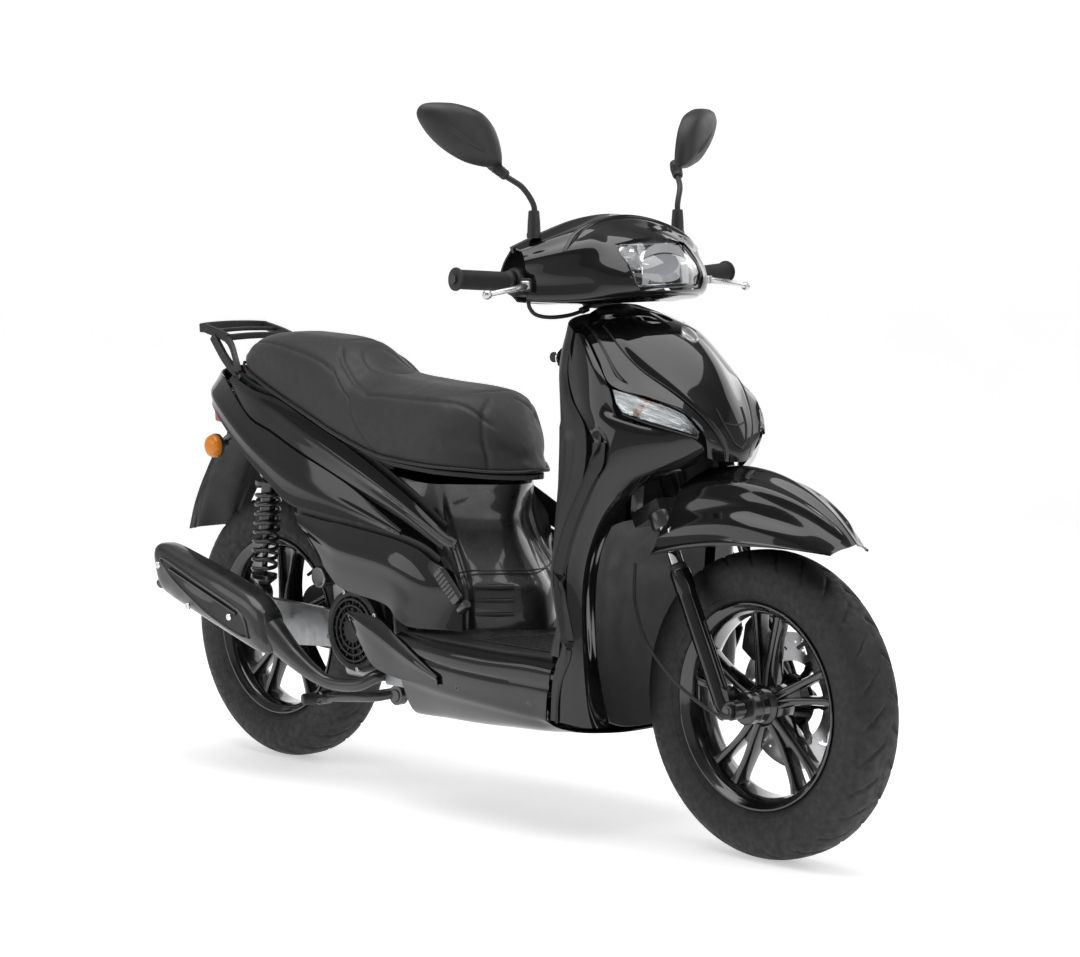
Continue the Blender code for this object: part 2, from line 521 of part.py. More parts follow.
GRIP_END = (0.229, -0.345, 0.997)
GRIP_ROOT = (0.2442, -0.220, 0.9897)
MIRROR_FOOT = (0.258, -0.179, 1.072)
MIRROR_NECK = (0.212, -0.222, 1.186)
LEVER_PIVOT = (0.287, -0.226, 0.985)


def build_steering():
    """Everything that turns with the handlebar."""
    yoke_centre = fork_leg(0.600)
    yoke = [(-0.060, -0.098), (0.016, -0.103), (0.016, 0.103), (-0.060, 0.098)]
    up = Vector(AXIS_UP)
    ahead = Vector((math.cos(RAKE), 0, math.sin(RAKE)))
    loops = []
    for height in (-0.013, 0.013):
        loops.append([Vector(yoke_centre) + ahead * a + Vector((0, s, 0)) + up * height for a, s in yoke])
    solids = [loft(loops), tube([head_axis(0.592), head_axis(0.934)], 0.0180, 12)]
    for side in (-LEG_SPREAD, LEG_SPREAD):
        solids.append(tube([fork_leg(0.598, side), fork_leg(0.400, side)], 0.0120, 10))
    piece("steering_stem", "frame_paint", solids, pivot=head_axis(0.600))

    bar = [GRIP_END, GRIP_ROOT, (0.256, -0.130, 0.978), (0.264, -0.050, 0.968), (0.264, 0.050, 0.968)]
    bar += [(x, -y, z) for x, y, z in reversed(bar[:3])]
    clamp = box((0.262, 0, 0.966), (0.040, 0.050, 0.034))
    piece("handlebar", "frame_paint", [tube(bar, 0.0100, 8), clamp], pivot=(0.264, 0, 0.968))

    opening = [(-0.091, 1.063), (-0.089, 0.990), (-0.078, 0.975), (0.078, 0.975), (0.089, 0.990), (0.091, 1.063),
               (0.045, 1.070), (0.000, 1.073), (-0.045, 1.070)]
    piece("cowl_front", "gloss_black", [shell(symmetric(COWL_FRONT), (0.25, 0, 1.0), rows=9, columns=13)],
          cuts=[slab(opening, 0, 0.300, 0.500)])
    piece("cowl_rear", "matte_black", [shell(symmetric(COWL_REAR), (0.25, 0, 1.0), rows=7, columns=9)])
    piece("headlight", "clear_lens", [shell(symmetric(HEADLIGHT), (0.25, 0, 1.0), 0.020, 5, 9)])
    piece("front_fender", "gloss_black", [shell(symmetric(FENDER), (0.66, 0, 0.27), rows=9, columns=9)])

    along = Vector(GRIP_END) - Vector(GRIP_ROOT)
    along.normalize()
    length = 0.118
    sleeve = [(0.0112, 0.006), (0.0165, 0.006), (0.0165, length - 0.004), (0.0205, length - 0.003),
              (0.0205, length + 0.002), (0.0112, length + 0.002)]
    piece("throttle_grip", "grip_rubber", [turned(sleeve, GRIP_ROOT, along, 16, ring=True)], pivot=GRIP_ROOT)
    left_root = (GRIP_ROOT[0], -GRIP_ROOT[1], GRIP_ROOT[2])
    left_along = (along[0], -along[1], along[2])
    piece("left_grip", "grip_rubber", [turned(sleeve, left_root, left_along, 16, ring=True)], pivot=left_root)

    blade = [LEVER_PIVOT, (0.296, -0.240, 0.983), (0.304, -0.265, 0.980), (0.303, -0.295, 0.976),
             (0.295, -0.322, 0.971)]
    boss = turned([(0.010, -0.007), (0.010, 0.007)], LEVER_PIVOT, (0, 0, 1), 12)
    ball = turned([(0.004, -0.008), (0.008, -0.004), (0.008, 0.004), (0.004, 0.008)], blade[-1],
                  Vector(blade[-1]) - Vector(blade[-2]), 10)
    lever = [tube(blade, [0.0075, 0.0060, 0.0055, 0.0050, 0.0050], 8, smooth=9), boss, ball]
    piece("brake_lever_right", "bare_alloy", lever, pivot=LEVER_PIVOT)
    piece("brake_lever_left", "bare_alloy", [mirrored(s) for s in lever],
          pivot=(LEVER_PIVOT[0], -LEVER_PIVOT[1], LEVER_PIVOT[2]))

    build_mirrors()
    button = turned([(0.0065, 0.0), (0.0065, 0.008), (0.0050, 0.010)], (0.1858, -0.160, 0.992), (-1, 0, 0), 12)
    piece("starter_button", "matte_black", [button], pivot=(0.1858, -0.160, 0.992))
    switch = box((0.1808, 0.160, 0.992), (0.010, 0.016, 0.008))
    piece("signal_switch", "matte_black", [switch], pivot=(0.1808, 0.160, 0.992))


def build_mirrors():
    """Mirror arms on their boots, and the leaf-shaped heads on the arms."""
    arm = [MIRROR_FOOT, (0.258, -0.179, 1.092), (0.257, -0.180, 1.120), (0.247, -0.196, 1.154),
           (0.226, -0.212, 1.172), MIRROR_NECK]
    arm_solids = [tube(arm, [0.0105, 0.0070, 0.0055, 0.0055, 0.0080, 0.0100], 8, smooth=11)]
    centre = Vector((0.191, -0.291, 1.245))
    outward = Vector((-0.029, -0.074, 0.0))
    facing = Vector((0.074, -0.029, 0.0)).normalized()
    outline = [(-0.92, 1.196), (-0.62, 1.190), (-0.10, 1.199), (0.36, 1.219), (0.82, 1.252), (1.00, 1.280),
               (0.90, 1.296), (0.70, 1.302), (0.10, 1.300), (-0.42, 1.288), (-0.76, 1.262), (-0.92, 1.228)]

    def leaf(scale, depth):
        """One slice of the head, shrunk toward its middle."""
        return [centre + outward * t * scale + Vector((0, 0, (z - centre[2]) * scale)) + facing * depth
                for t, z in outline]
    head = loft([leaf(0.96, -0.008), leaf(1.0, -0.004), leaf(1.0, 0.006), leaf(0.80, 0.020), leaf(0.45, 0.027)])
    for side, sign in (("right", 1), ("left", -1)):
        solids = arm_solids if sign == 1 else [mirrored(s) for s in arm_solids]
        shape = head if sign == 1 else mirrored(head)
        piece("mirror_arm_" + side, "matte_black", solids,
              pivot=(MIRROR_FOOT[0], sign * MIRROR_FOOT[1], MIRROR_FOOT[2]))
        piece("mirror_head_" + side, "matte_black", [shape],
              pivot=(MIRROR_NECK[0], sign * MIRROR_NECK[1], MIRROR_NECK[2]))


def wheel(prefix, centre, hub_low, hub_high):
    """Cast wheel with five twin spokes, and its tyre."""
    axis = (0, 1, 0)
    barrel = [(0.1782, -0.040), (0.1782, -0.031), (0.166, -0.022), (0.166, 0.022), (0.1782, 0.031),
              (0.1782, 0.040), (0.170, 0.040), (0.156, 0.026), (0.156, -0.026), (0.170, -0.040)]
    hub = [(0.0090, hub_low), (0.030, hub_low), (0.036, -0.020), (0.036, 0.020), (0.030, hub_high),
           (0.0090, hub_high)]
    solids = [turned(barrel, centre, axis, 32, ring=True), turned(hub, centre, axis, 16, ring=True)]
    for number in range(SPOKES):
        for side in (-1, 1):
            angle = 2 * math.pi * number / SPOKES + math.radians(90)
            out = Vector((math.cos(angle), 0, math.sin(angle)))
            across = Vector((-math.sin(angle), 0, math.cos(angle)))
            loops = []
            for reach, offset, half, thick in ((0.028, 0.010, 0.008, 0.018), (0.095, 0.018, 0.006, 0.014),
                                               (0.160, 0.027, 0.008, 0.015)):
                middle = Vector(centre) + out * reach + across * offset * side
                loops.append([middle + across * a * half + Vector((0, b * thick, 0))
                              for a, b in ((-1, -1), (1, -1), (1, 1), (-1, 1))])
            solids.append(loft(loops))
    piece(prefix + "_rim", "alloy_black", solids, pivot=centre)
    r = TYRE_RADIUS
    w = TYRE_HALF_WIDTH
    outer = [(BEAD_RADIUS, 0.037), (0.188, 0.045), (0.226, w), (0.255, 0.042), (r, TREAD_HALF_FLAT)]
    inner = [(r - 0.012, 0.016), (0.226, 0.044), (BEAD_RADIUS, 0.031)]
    section = [(a, -b) for a, b in outer] + [(a, b) for a, b in reversed(outer)]
    section += [(a, b) for a, b in reversed(inner)] + [(a, -b) for a, b in inner]
    piece(prefix + "_tyre", "tyre_rubber", [turned(section, centre, axis, 40, ring=True)], pivot=centre)


def build_front_end():
    """Sliding fork legs with the axle and caliper, the speedometer cable and the front wheel."""
    wheel("front", FRONT_AXLE, -0.046, 0.0572)
    low = DISC_PLANE - 0.002
    high = DISC_PLANE + 0.002
    rotor = [(0.0100, low), (DISC_RADIUS, low), (DISC_RADIUS, high), (0.0100, high)]
    piece("brake_disc", "disc_steel", [turned(rotor, FRONT_AXLE, (0, 1, 0), 32, ring=True)],
          pivot=FRONT_AXLE)
    solids = []
    for side in (-LEG_SPREAD, LEG_SPREAD):
        foot = fork_leg(0.262, side)
        top = fork_leg(0.495, side)
        reach = (Vector(top) - Vector(foot)).length
        leg = [(LEG_RADIUS, 0.0), (LEG_RADIUS, reach), (0.0128, reach), (0.0128, 0.060)]
        solids.append(turned(leg, foot, Vector(top) - Vector(foot), 12))
        solids.append(box((0.655, side, 0.268), (0.052, 0.026, 0.036)))
    solids.append(tube([(FRONT_AXLE[0], -0.100, FRONT_AXLE[2]), (FRONT_AXLE[0], 0.100, FRONT_AXLE[2])],
                       0.0080, 12))
    caliper = [(0.556, 0.352), (0.566, 0.398), (0.592, 0.402), (0.618, 0.372), (0.606, 0.336), (0.580, 0.330)]
    solids.append(slab(caliper, 1, 0.046, 0.0735))
    slot = turned([(0.090, 0.0562), (0.123, 0.0562), (0.123, 0.0638), (0.090, 0.0638)], FRONT_AXLE,
                  (0, 1, 0), 40, ring=True)
    piece("fork_lower", "frame_paint", solids, cuts=[slot], pivot=fork_leg(0.268))

    route = [(0.672, -0.106, 0.262), (0.640, -0.112, 0.262), (0.560, -0.116, 0.300), (0.480, -0.112, 0.360),
             (0.438, -0.104, 0.430), (0.432, -0.098, 0.500)]
    curve = bpy.data.curves.new("speedo_cable", "CURVE")
    curve.dimensions = "3D"
    curve.render_resolution_u = 0
    curve.bevel_depth = 0.0030
    curve.bevel_resolution = 2
    curve.use_fill_caps = True
    points = resample(route, 26)
    line = curve.splines.new("POLY")
    line.points.add(len(points) - 1)
    for knot, p in zip(line.points, points):
        knot.co = (*map(float, p), 1.0)
    cable = bpy.data.objects.new("speedo_cable", curve)
    bpy.context.scene.collection.objects.link(cable)
    curve.materials.append(paint("speedo_cable", "grip_rubber"))


SEAT_HINGE = (0.078, 0.0, 0.618)
SEAT_PROFILE = (
    # x, underside, ridge height, top, half width below, at the ridge
    (0.086, 0.629, 0.634, 0.639, 0.014, 0.010),
    (0.074, 0.627, 0.650, 0.658, 0.028, 0.022),
    (0.048, 0.626, 0.676, 0.688, 0.052, 0.038),
    (0.015, 0.627, 0.712, 0.726, 0.080, 0.056),
    (-0.020, 0.630, 0.745, 0.757, 0.106, 0.074),
    (-0.055, 0.632, 0.758, 0.771, 0.125, 0.088),
    (-0.110, 0.636, 0.761, 0.778, 0.141, 0.104),
    (-0.220, 0.647, 0.763, 0.784, 0.148, 0.109),
    (-0.340, 0.677, 0.768, 0.800, 0.145, 0.104),
    (-0.430, 0.706, 0.820, 0.850, 0.138, 0.094),
    (-0.580, 0.753, 0.848, 0.862, 0.121, 0.082),
    (-0.680, 0.785, 0.848, 0.860, 0.100, 0.070),
    (-0.738, 0.806, 0.830, 0.842, 0.062, 0.048),
)


def build_seat():
    """Two-level cushion on its pan, hinged at the nose."""
    loops = []
    pan = []
    for x, low, ridge, top, half, shoulder in SEAT_PROFILE:
        right = [(0, low), (-half * 0.7, low), (-half, low + 0.004), (-half * 1.01, low + 0.3 * (ridge - low)),
                 (-(half + shoulder) / 2, low + 0.72 * (ridge - low)), (-shoulder, ridge),
                 (-shoulder * 0.55, top - 0.15 * (top - ridge)), (0, top)]
        loop = right + [(-y, z) for y, z in reversed(right[1:-1])]
        loops.append([(x, y, z) for y, z in loop])
        wide = max(half - 0.022, 0.010)
        pan.append([(x, -wide, low - 0.009), (x, wide, low - 0.009), (x, wide, low - 0.0012),
                    (x, -wide, low - 0.0012)])
    piece("seat_cushion", "seat_vinyl", [loft(loops)], pivot=SEAT_HINGE)
    piece("seat_base", "matte_black", [loft(pan[1:])], pivot=SEAT_HINGE)


ENGINE_PIVOT = (-0.160, 0.0, 0.335)
SHOCK_TOP = (-0.590, -0.112, 0.592)
SHOCK_FOOT = (-0.614, -0.112, 0.350)
STAND_PIVOT = (-0.245, 0.0, 0.180)


def build_engine():
    """Swinging engine with its belt case, fan cover and exhaust."""
    case = [(-0.212, 0.250), (-0.240, 0.208), (-0.368, 0.208), (-0.384, 0.240), (-0.388, 0.340), (-0.370, 0.388),
            (-0.260, 0.394), (-0.222, 0.350)]
    belt_case = [(-0.235, 0.300), (-0.262, 0.232), (-0.330, 0.212), (-0.600, 0.212), (-0.690, 0.222),
                 (-0.722, 0.268), (-0.700, 0.330), (-0.620, 0.352), (-0.420, 0.372), (-0.300, 0.380),
                 (-0.248, 0.350)]
    lug_arm = [(-0.182, 0.322), (-0.230, 0.260), (-0.245, 0.345), (-0.182, 0.352)]
    right_arm = [(-0.360, 0.262), (-0.640, 0.240), (-0.690, 0.250), (-0.690, 0.285), (-0.640, 0.336),
                 (-0.600, 0.336), (-0.360, 0.330)]
    lug = turned([(0.0108, -0.040), (0.024, -0.040), (0.024, 0.040), (0.0108, 0.040)], ENGINE_PIVOT,
                 (0, 1, 0), 16, ring=True)
    solids = [slab(case, 1, -0.100, 0.090), slab(belt_case, 1, 0.064, 0.142), slab(lug_arm, 1, -0.036, 0.036),
              lug, slab(right_arm, 1, -0.098, -0.084)]
    solids.append(tube([(REAR_AXLE[0], -0.090, REAR_AXLE[2]), (REAR_AXLE[0], 0.070, REAR_AXLE[2])], 0.0080, 12))
    x, _, z = STAND_PIVOT
    solids.append(tube([(x, -0.080, z), (x, 0.080, z)], 0.0115, 12))
    solids.append(box((x, 0, z + 0.016), (0.022, 0.090, 0.036)))
    piece("engine_unit", "bare_alloy", solids, pivot=ENGINE_PIVOT)
    fan = [(0.030, 0.0), (0.080, 0.0), (0.080, 0.030), (0.070, 0.048), (0.040, 0.056), (0.012, 0.056)]
    piece("fan_cover", "matte_black", [turned(fan, (-0.305, -0.1006, 0.306), (0, -1, 0), 28)])
    wheel("rear", REAR_AXLE, -0.078, 0.058)

    stations = [(-0.468, 0.300, 0.052, 0.030), (-0.500, 0.306, 0.060, 0.038), (-0.640, 0.346, 0.058, 0.040),
                (-0.790, 0.386, 0.054, 0.038), (-0.818, 0.392, 0.044, 0.030)]
    lean = math.radians(16)
    corners = ((-1, -0.55), (-0.6, -1), (0.6, -1), (1, -0.55), (1, 0.55), (0.6, 1), (-0.6, 1), (-1, 0.55))

    def slices(wall):
        """Cross-sections of the can from front to back, drawn in by the wall."""
        for x, z, high, wide in stations:
            yield [(x - math.sin(lean) * b * (high - wall), -0.202 + a * (wide - wall),
                    z + math.cos(lean) * b * (high - wall)) for a, b in corners]
    can = loft(list(slices(0.0)) + list(reversed(list(slices(0.004))[1:])))
    header = tube([(-0.246, -0.104, 0.226), (-0.250, -0.126, 0.220), (-0.280, -0.150, 0.204),
                   (-0.350, -0.166, 0.206), (-0.420, -0.184, 0.245), (-0.480, -0.200, 0.296)], 0.0125, 10)
    piece("muffler", "dark_exhaust", [can, header])

    x, _, z = STAND_PIVOT
    leg = tube([(x - 0.021, -0.072, z - 0.001), (x - 0.042, -0.097, z - 0.006), (x - 0.105, -0.106, z - 0.013),
                (x - 0.173, -0.112, z - 0.020)], 0.0090, 8)
    brace = tube([(x - 0.085, -0.104, z - 0.010), (x - 0.085, 0.104, z - 0.010)], 0.0075, 8)
    pedal = tube([(x - 0.166, -0.110, z - 0.019), (x - 0.180, -0.150, z - 0.022)], 0.0075, 8)
    eye = turned([(0.0125, -0.078), (0.0190, -0.078), (0.0190, -0.062), (0.0125, -0.062)], STAND_PIVOT,
                 (0, 1, 0), 16, ring=True)
    legs = [leg, mirrored(leg), brace, pedal, eye, mirrored(eye)]
    piece("center_stand", "frame_paint", legs, pivot=STAND_PIVOT)


def build_shock():
    """Rear shock absorber: body under the seat, rod below, spring round both."""
    top = Vector(SHOCK_TOP)
    foot = Vector(SHOCK_FOOT)
    down = (foot - top).normalized()
    length = (foot - top).length
    side = (0, 1, 0)
    upper = [turned([(0.0105, -0.012), (0.018, -0.012), (0.018, 0.012), (0.0105, 0.012)],
                    top, side, 14, ring=True),
             turned([(0.016, 0.014), (0.026, 0.020), (0.026, 0.026), (0.0150, 0.027), (0.0150, 0.118),
                     (0.0080, 0.118), (0.0080, 0.024)], top, down, 14)]
    piece("shock_body", "frame_paint", upper, pivot=SHOCK_TOP)
    lower = [turned([(0.0075, -0.012), (0.016, -0.012), (0.016, 0.012), (0.0075, 0.012)],
                    foot, side, 14, ring=True),
             turned([(0.0060, 0.080), (0.0060, length - 0.040), (0.024, length - 0.034),
                     (0.024, length - 0.028), (0.012, length - 0.014)], top, down, 14)]
    piece("shock_rod", "chrome_part", lower, pivot=SHOCK_FOOT)
    turns = 7
    steps = turns * 8
    start = 0.031
    finish = length - 0.045
    across = down.orthogonal().normalized()
    other = down.cross(across)
    coil = []
    for k in range(steps + 1):
        angle = 2 * math.pi * turns * k / steps
        coil.append(top + down * (start + (finish - start) * k / steps)
                    + (across * math.cos(angle) + other * math.sin(angle)) * 0.0225)
    piece("shock_spring", "frame_paint", [tube(coil, 0.0032, 5)], pivot=SHOCK_TOP)


def build_small_parts():
    """Passenger footrests and the ignition key."""
    peg_low = Vector((0.040, -0.166, 0.398))
    peg_high = Vector((-0.008, -0.176, 0.456))
    along = (peg_high - peg_low).normalized()
    across = along.cross(Vector((0, -1, 0))).normalized()
    loops = []
    for step, half in ((0.0, 0.010), (0.006, 0.014), (0.066, 0.015), (0.074, 0.010)):
        middle = peg_low + along * step
        loops.append([middle + across * a * half + Vector((0, b * 0.006, 0))
                      for a, b in ((-1, -0.6), (-0.7, -1), (0.7, -1), (1, -0.6), (1, 0.6), (0.7, 1), (-0.7, 1),
                                   (-1, 0.6))])
    solid = loft(loops)
    piece("footrest_right", "matte_black", [solid], pivot=tuple(peg_low))
    piece("footrest_left", "matte_black", [mirrored(solid)], pivot=(peg_low[0], -peg_low[1], peg_low[2]))
    key_at = (0.2160, -0.072, 0.850)
    barrel = turned([(0.0100, 0.0), (0.0110, 0.004), (0.0060, 0.005)], key_at, (-1, 0, 0), 14)
    bow = box((key_at[0] - 0.0145, key_at[1], key_at[2]), (0.021, 0.0025, 0.014))
    piece("ignition_key", "bare_alloy", [barrel, bow], pivot=key_at)


clear_scene()
build_frame()
build_bodywork()
build_steering()
build_front_end()
build_seat()
build_engine()
build_shock()
build_small_parts()
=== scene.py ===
import math

import bmesh
import bpy
import numpy as np
from mathutils import Matrix, Vector


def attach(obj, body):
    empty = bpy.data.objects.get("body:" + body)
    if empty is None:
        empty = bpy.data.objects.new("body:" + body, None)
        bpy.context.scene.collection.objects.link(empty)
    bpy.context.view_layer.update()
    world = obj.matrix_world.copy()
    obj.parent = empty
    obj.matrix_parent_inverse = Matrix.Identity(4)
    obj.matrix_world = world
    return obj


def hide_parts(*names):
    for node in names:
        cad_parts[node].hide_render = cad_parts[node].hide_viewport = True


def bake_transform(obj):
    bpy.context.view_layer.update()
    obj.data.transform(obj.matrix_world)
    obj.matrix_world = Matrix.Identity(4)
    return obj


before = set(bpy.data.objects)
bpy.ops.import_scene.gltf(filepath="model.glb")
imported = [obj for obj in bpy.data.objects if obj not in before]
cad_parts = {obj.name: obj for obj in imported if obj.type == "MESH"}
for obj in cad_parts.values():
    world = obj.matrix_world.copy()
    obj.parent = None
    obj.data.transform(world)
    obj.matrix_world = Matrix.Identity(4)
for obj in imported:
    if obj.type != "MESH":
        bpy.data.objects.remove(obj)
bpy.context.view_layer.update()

WHEEL_RADIUS = 0.268
HALF_BASE = 0.665
FRONT = Vector((HALF_BASE, 0, WHEEL_RADIUS))
REAR = Vector((-HALF_BASE, 0, WHEEL_RADIUS))
RAKE = math.radians(26)
AHEAD = Vector((math.cos(RAKE), 0, math.sin(RAKE)))
SIDE = {-1: "right", 1: "left"}


# ---------------------------------------------------------------- materials
class Maker:
    """Small helper that builds a node material."""

    def __init__(self, name, colour, rough, metal=0.0, **extra):
        self.mat = bpy.data.materials.new(name)
        self.mat.use_nodes = True
        self.tree = self.mat.node_tree
        self.base = self.tree.nodes["Principled BSDF"]
        self.base.inputs["Base Color"].default_value = (*colour, 1)
        self.base.inputs["Roughness"].default_value = rough
        self.base.inputs["Metallic"].default_value = metal
        for key, value in extra.items():
            self.base.inputs[key.replace("_", " ")].default_value = value
        self.where = self.node("ShaderNodeTexCoord").outputs["Object"]
        self.height = None

    def node(self, kind, **settings):
        item = self.tree.nodes.new(kind)
        for key, value in settings.items():
            if key in item.inputs:
                item.inputs[key].default_value = value
            else:
                setattr(item, key, value)
        return item

    def link(self, a, b):
        self.tree.links.new(a, b)

    def noise(self, scale, detail=2.0, rough=0.5, stretch=None):
        item = self.node("ShaderNodeTexNoise", Scale=scale, Detail=detail, Roughness=rough)
        where = self.where
        if stretch:
            warp = self.node("ShaderNodeMapping")
            warp.inputs["Scale"].default_value = stretch
            self.link(where, warp.inputs["Vector"])
            where = warp.outputs["Vector"]
        self.link(where, item.inputs["Vector"])
        return item.outputs["Fac"]

    def cells(self, scale, feature="F1"):
        item = self.node("ShaderNodeTexVoronoi", Scale=scale, feature=feature)
        self.link(self.where, item.inputs["Vector"])
        return item.outputs["Distance"]

    def spread(self, source, low, high, start=0.3, stop=0.7):
        item = self.node("ShaderNodeMapRange")
        for key, value in (("From Min", start), ("From Max", stop), ("To Min", low), ("To Max", high)):
            item.inputs[key].default_value = value
        self.link(source, item.inputs["Value"])
        return item.outputs["Result"]

    def tint(self, source, dark, light, start=0.3, stop=0.7):
        ramp = self.node("ShaderNodeValToRGB")
        ramp.color_ramp.elements[0].position = start
        ramp.color_ramp.elements[1].position = stop
        ramp.color_ramp.elements[0].color = (*dark, 1)
        ramp.color_ramp.elements[1].color = (*light, 1)
        self.link(source, ramp.inputs["Fac"])
        self.link(ramp.outputs["Color"], self.base.inputs["Base Color"])
        return ramp

    def roughness(self, source, low, high, start=0.3, stop=0.7):
        self.link(self.spread(source, low, high, start, stop), self.base.inputs["Roughness"])

    def bump(self, source, strength, distance=0.001):
        item = self.node("ShaderNodeBump", Strength=strength, Distance=distance)
        self.link(source, item.inputs["Height"])
        if self.height:
            self.link(self.height, item.inputs["Normal"])
        self.height = item.outputs["Normal"]
        self.link(self.height, self.base.inputs["Normal"])


def gloss(name, colour=(0.0035, 0.0035, 0.004), rough=0.045):
    m = Maker(name, colour, rough, Coat_Weight=0.12, Coat_Roughness=0.02)
    m.roughness(m.noise(9, 3), rough * 0.75, rough * 1.5)
    m.tint(m.noise(700, 1), colour, [c * 1.8 for c in colour])
    m.bump(m.noise(260, 1), 0.05, 0.0002)
    return m.mat


def grained(name, colour, rough, grain=900, depth=0.25, sheen=0.0):
    m = Maker(name, colour, rough, Sheen_Weight=sheen)
    m.tint(m.noise(14, 4), [c * 0.82 for c in colour], [c * 1.2 for c in colour])
    m.roughness(m.noise(30, 3), rough - 0.06, rough + 0.08)
    m.bump(m.cells(grain), depth, 0.0004)
    return m.mat


def metal(name, colour, rough, brushed=None, cast=False):
    m = Maker(name, colour, rough, 1.0)
    m.roughness(m.noise(40, 4, stretch=brushed), rough * 0.7, rough * 1.4)
    m.tint(m.noise(11, 4), [c * 0.8 for c in colour], colour)
    if cast:
        m.bump(m.noise(420, 3), 0.35, 0.0005)
    elif brushed:
        m.bump(m.noise(300, 2, stretch=brushed), 0.08, 0.0003)
    return m.mat


def lacquer(name, colour=(0.006, 0.006, 0.0065), rough=0.16):
    m = Maker(name, colour, rough, 0.0, Coat_Weight=0.8, Coat_Roughness=0.06)
    m.roughness(m.noise(25, 4), rough * 0.7, rough * 1.6)
    m.tint(m.noise(180, 3), colour, [c * 2.2 for c in colour])
    m.bump(m.noise(520, 2), 0.10, 0.0003)
    return m.mat


def vinyl():
    m = Maker("seat_vinyl_grain", (0.014, 0.014, 0.0145), 0.58, Sheen_Weight=0.05, Sheen_Roughness=0.5)
    m.tint(m.noise(9, 5), (0.012, 0.012, 0.0127), (0.018, 0.018, 0.019))
    m.roughness(m.noise(60, 3), 0.52, 0.64)
    m.bump(m.cells(520, "DISTANCE_TO_EDGE"), 0.35, 0.0004)
    m.bump(m.noise(1500, 2), 0.20, 0.0002)
    return m.mat


def tyre_rubber():
    m = Maker("tyre_rubber_fine", (0.020, 0.020, 0.021), 0.6)
    m.tint(m.noise(22, 5), (0.007, 0.007, 0.0075), (0.012, 0.012, 0.0125))
    m.roughness(m.noise(80, 4), 0.50, 0.78)
    m.bump(m.noise(900, 3), 0.25, 0.0004)
    return m.mat


def glassy(name, colour, rough=0.02, weight=1.0):
    m = Maker(name, colour, rough, Transmission_Weight=weight, IOR=1.45)
    m.roughness(m.noise(35, 2), rough * 0.6, rough * 1.6)
    m.bump(m.noise(120, 1), 0.02, 0.0003)
    return m.mat


M = {
    "gloss": gloss("gloss_black_paint"),
    "matte": grained("matte_black_moulding", (0.010, 0.010, 0.0105), 0.46, 1100, 0.22),
    "trim": grained("dark_trim_moulding", (0.005, 0.005, 0.0052), 0.44, 900, 0.18),
    "satin": lacquer("satin_frame_paint", (0.008, 0.008, 0.0085), 0.32),
    "alloy_black": lacquer("gloss_wheel_lacquer", (0.004, 0.004, 0.0045), 0.12),
    "tyre": tyre_rubber(),
    "grip": grained("grip_rubber_fine", (0.008, 0.008, 0.0083), 0.60, 700, 0.3, 0.05),
    "vinyl": vinyl(),
    "alloy": metal("cast_alloy_surface", (0.36, 0.365, 0.372), 0.36, cast=True),
    "silver": metal("silver_lever_finish", (0.62, 0.62, 0.63), 0.24, brushed=(3, 60, 3)),
    "disc": metal("ground_disc_steel", (0.55, 0.55, 0.56), 0.26, brushed=(80, 2, 80)),
    "chrome": metal("chrome_plate", (0.86, 0.86, 0.87), 0.06, brushed=(2, 2, 2)),
    "exhaust": lacquer("heat_black_paint", (0.007, 0.007, 0.0073), 0.40),
    "mirror": metal("mirror_silvering", (0.88, 0.89, 0.90), 0.03, brushed=(1, 1, 1)),
    "clear": glassy("clear_lens_resin", (0.96, 0.975, 0.98), 0.01),
    "amber": glassy("amber_lens_resin", (0.95, 0.30, 0.015), 0.12, weight=0.30),
    "red": glassy("red_lens_resin", (0.55, 0.02, 0.015), 0.08, weight=0.5),
}


# ---------------------------------------------------------------- shape tools
def smooth(x, a, b):
    t = np.clip((x - a) / (b - a), 0, 1)
    return t * t * (3 - 2 * t)


def curve_through(points, count):
    """Smooth curve through the points."""
    points = np.asarray(points, float)
    last = len(points) - 1
    if last == 1:
        return np.array([points[0] + (points[1] - points[0]) * k / (count - 1) for k in range(count)])
    out = []
    for k in range(count):
        t = k * last / (count - 1)
        i = min(int(t), last - 1)
        f = t - i
        b, c = points[i], points[i + 1]
        a = points[i - 1] if i > 0 else 2 * b - c
        d = points[i + 2] if i + 2 <= last else 2 * c - b
        out.append(0.5 * (2 * b + (c - a) * f + (2 * a - 5 * b + 4 * c - d) * f ** 2
                          + (3 * b - a - 3 * c + d) * f ** 3))
    return np.array(out)


def fair(points, count, strength=0.24):
    """Fair curve near the points, exact at its ends: it is splined, then relaxed."""
    dense = curve_through(points, count)
    for _ in range(int(2 * (strength * count / max(1, len(points) - 1)) ** 2)):
        dense[1:-1] = dense[1:-1] * 0.5 + (dense[:-2] + dense[2:]) * 0.25
    return dense


def surface(control, rows, columns, edge=0.16):
    """Fair surface near a grid of points, whose outline stays exactly on the grid's edges."""
    exact = curve_through(curve_through(control, rows).swapaxes(0, 1), columns).swapaxes(0, 1)
    soft = fair(fair(control, rows).swapaxes(0, 1), columns).swapaxes(0, 1)
    u = np.minimum(np.linspace(0, 1, rows), np.linspace(1, 0, rows))[:, None]
    v = np.minimum(np.linspace(0, 1, columns), np.linspace(1, 0, columns))[None, :]
    share = (smooth(u, 0, edge) * smooth(v, 0, edge))[..., None]
    return exact * (1 - share) + soft * share


def symmetric(half):
    return [list(row) + [(p[0], -p[1], p[2]) for p in reversed(row[:-1])] for row in half]


def normals(grid, inside):
    n = np.cross(np.gradient(grid, axis=0), np.gradient(grid, axis=1))
    n = n / np.maximum(np.linalg.norm(n, axis=2, keepdims=True), 1e-9)
    return -n if np.sum(n * (grid - np.array(inside))) < 0 else n


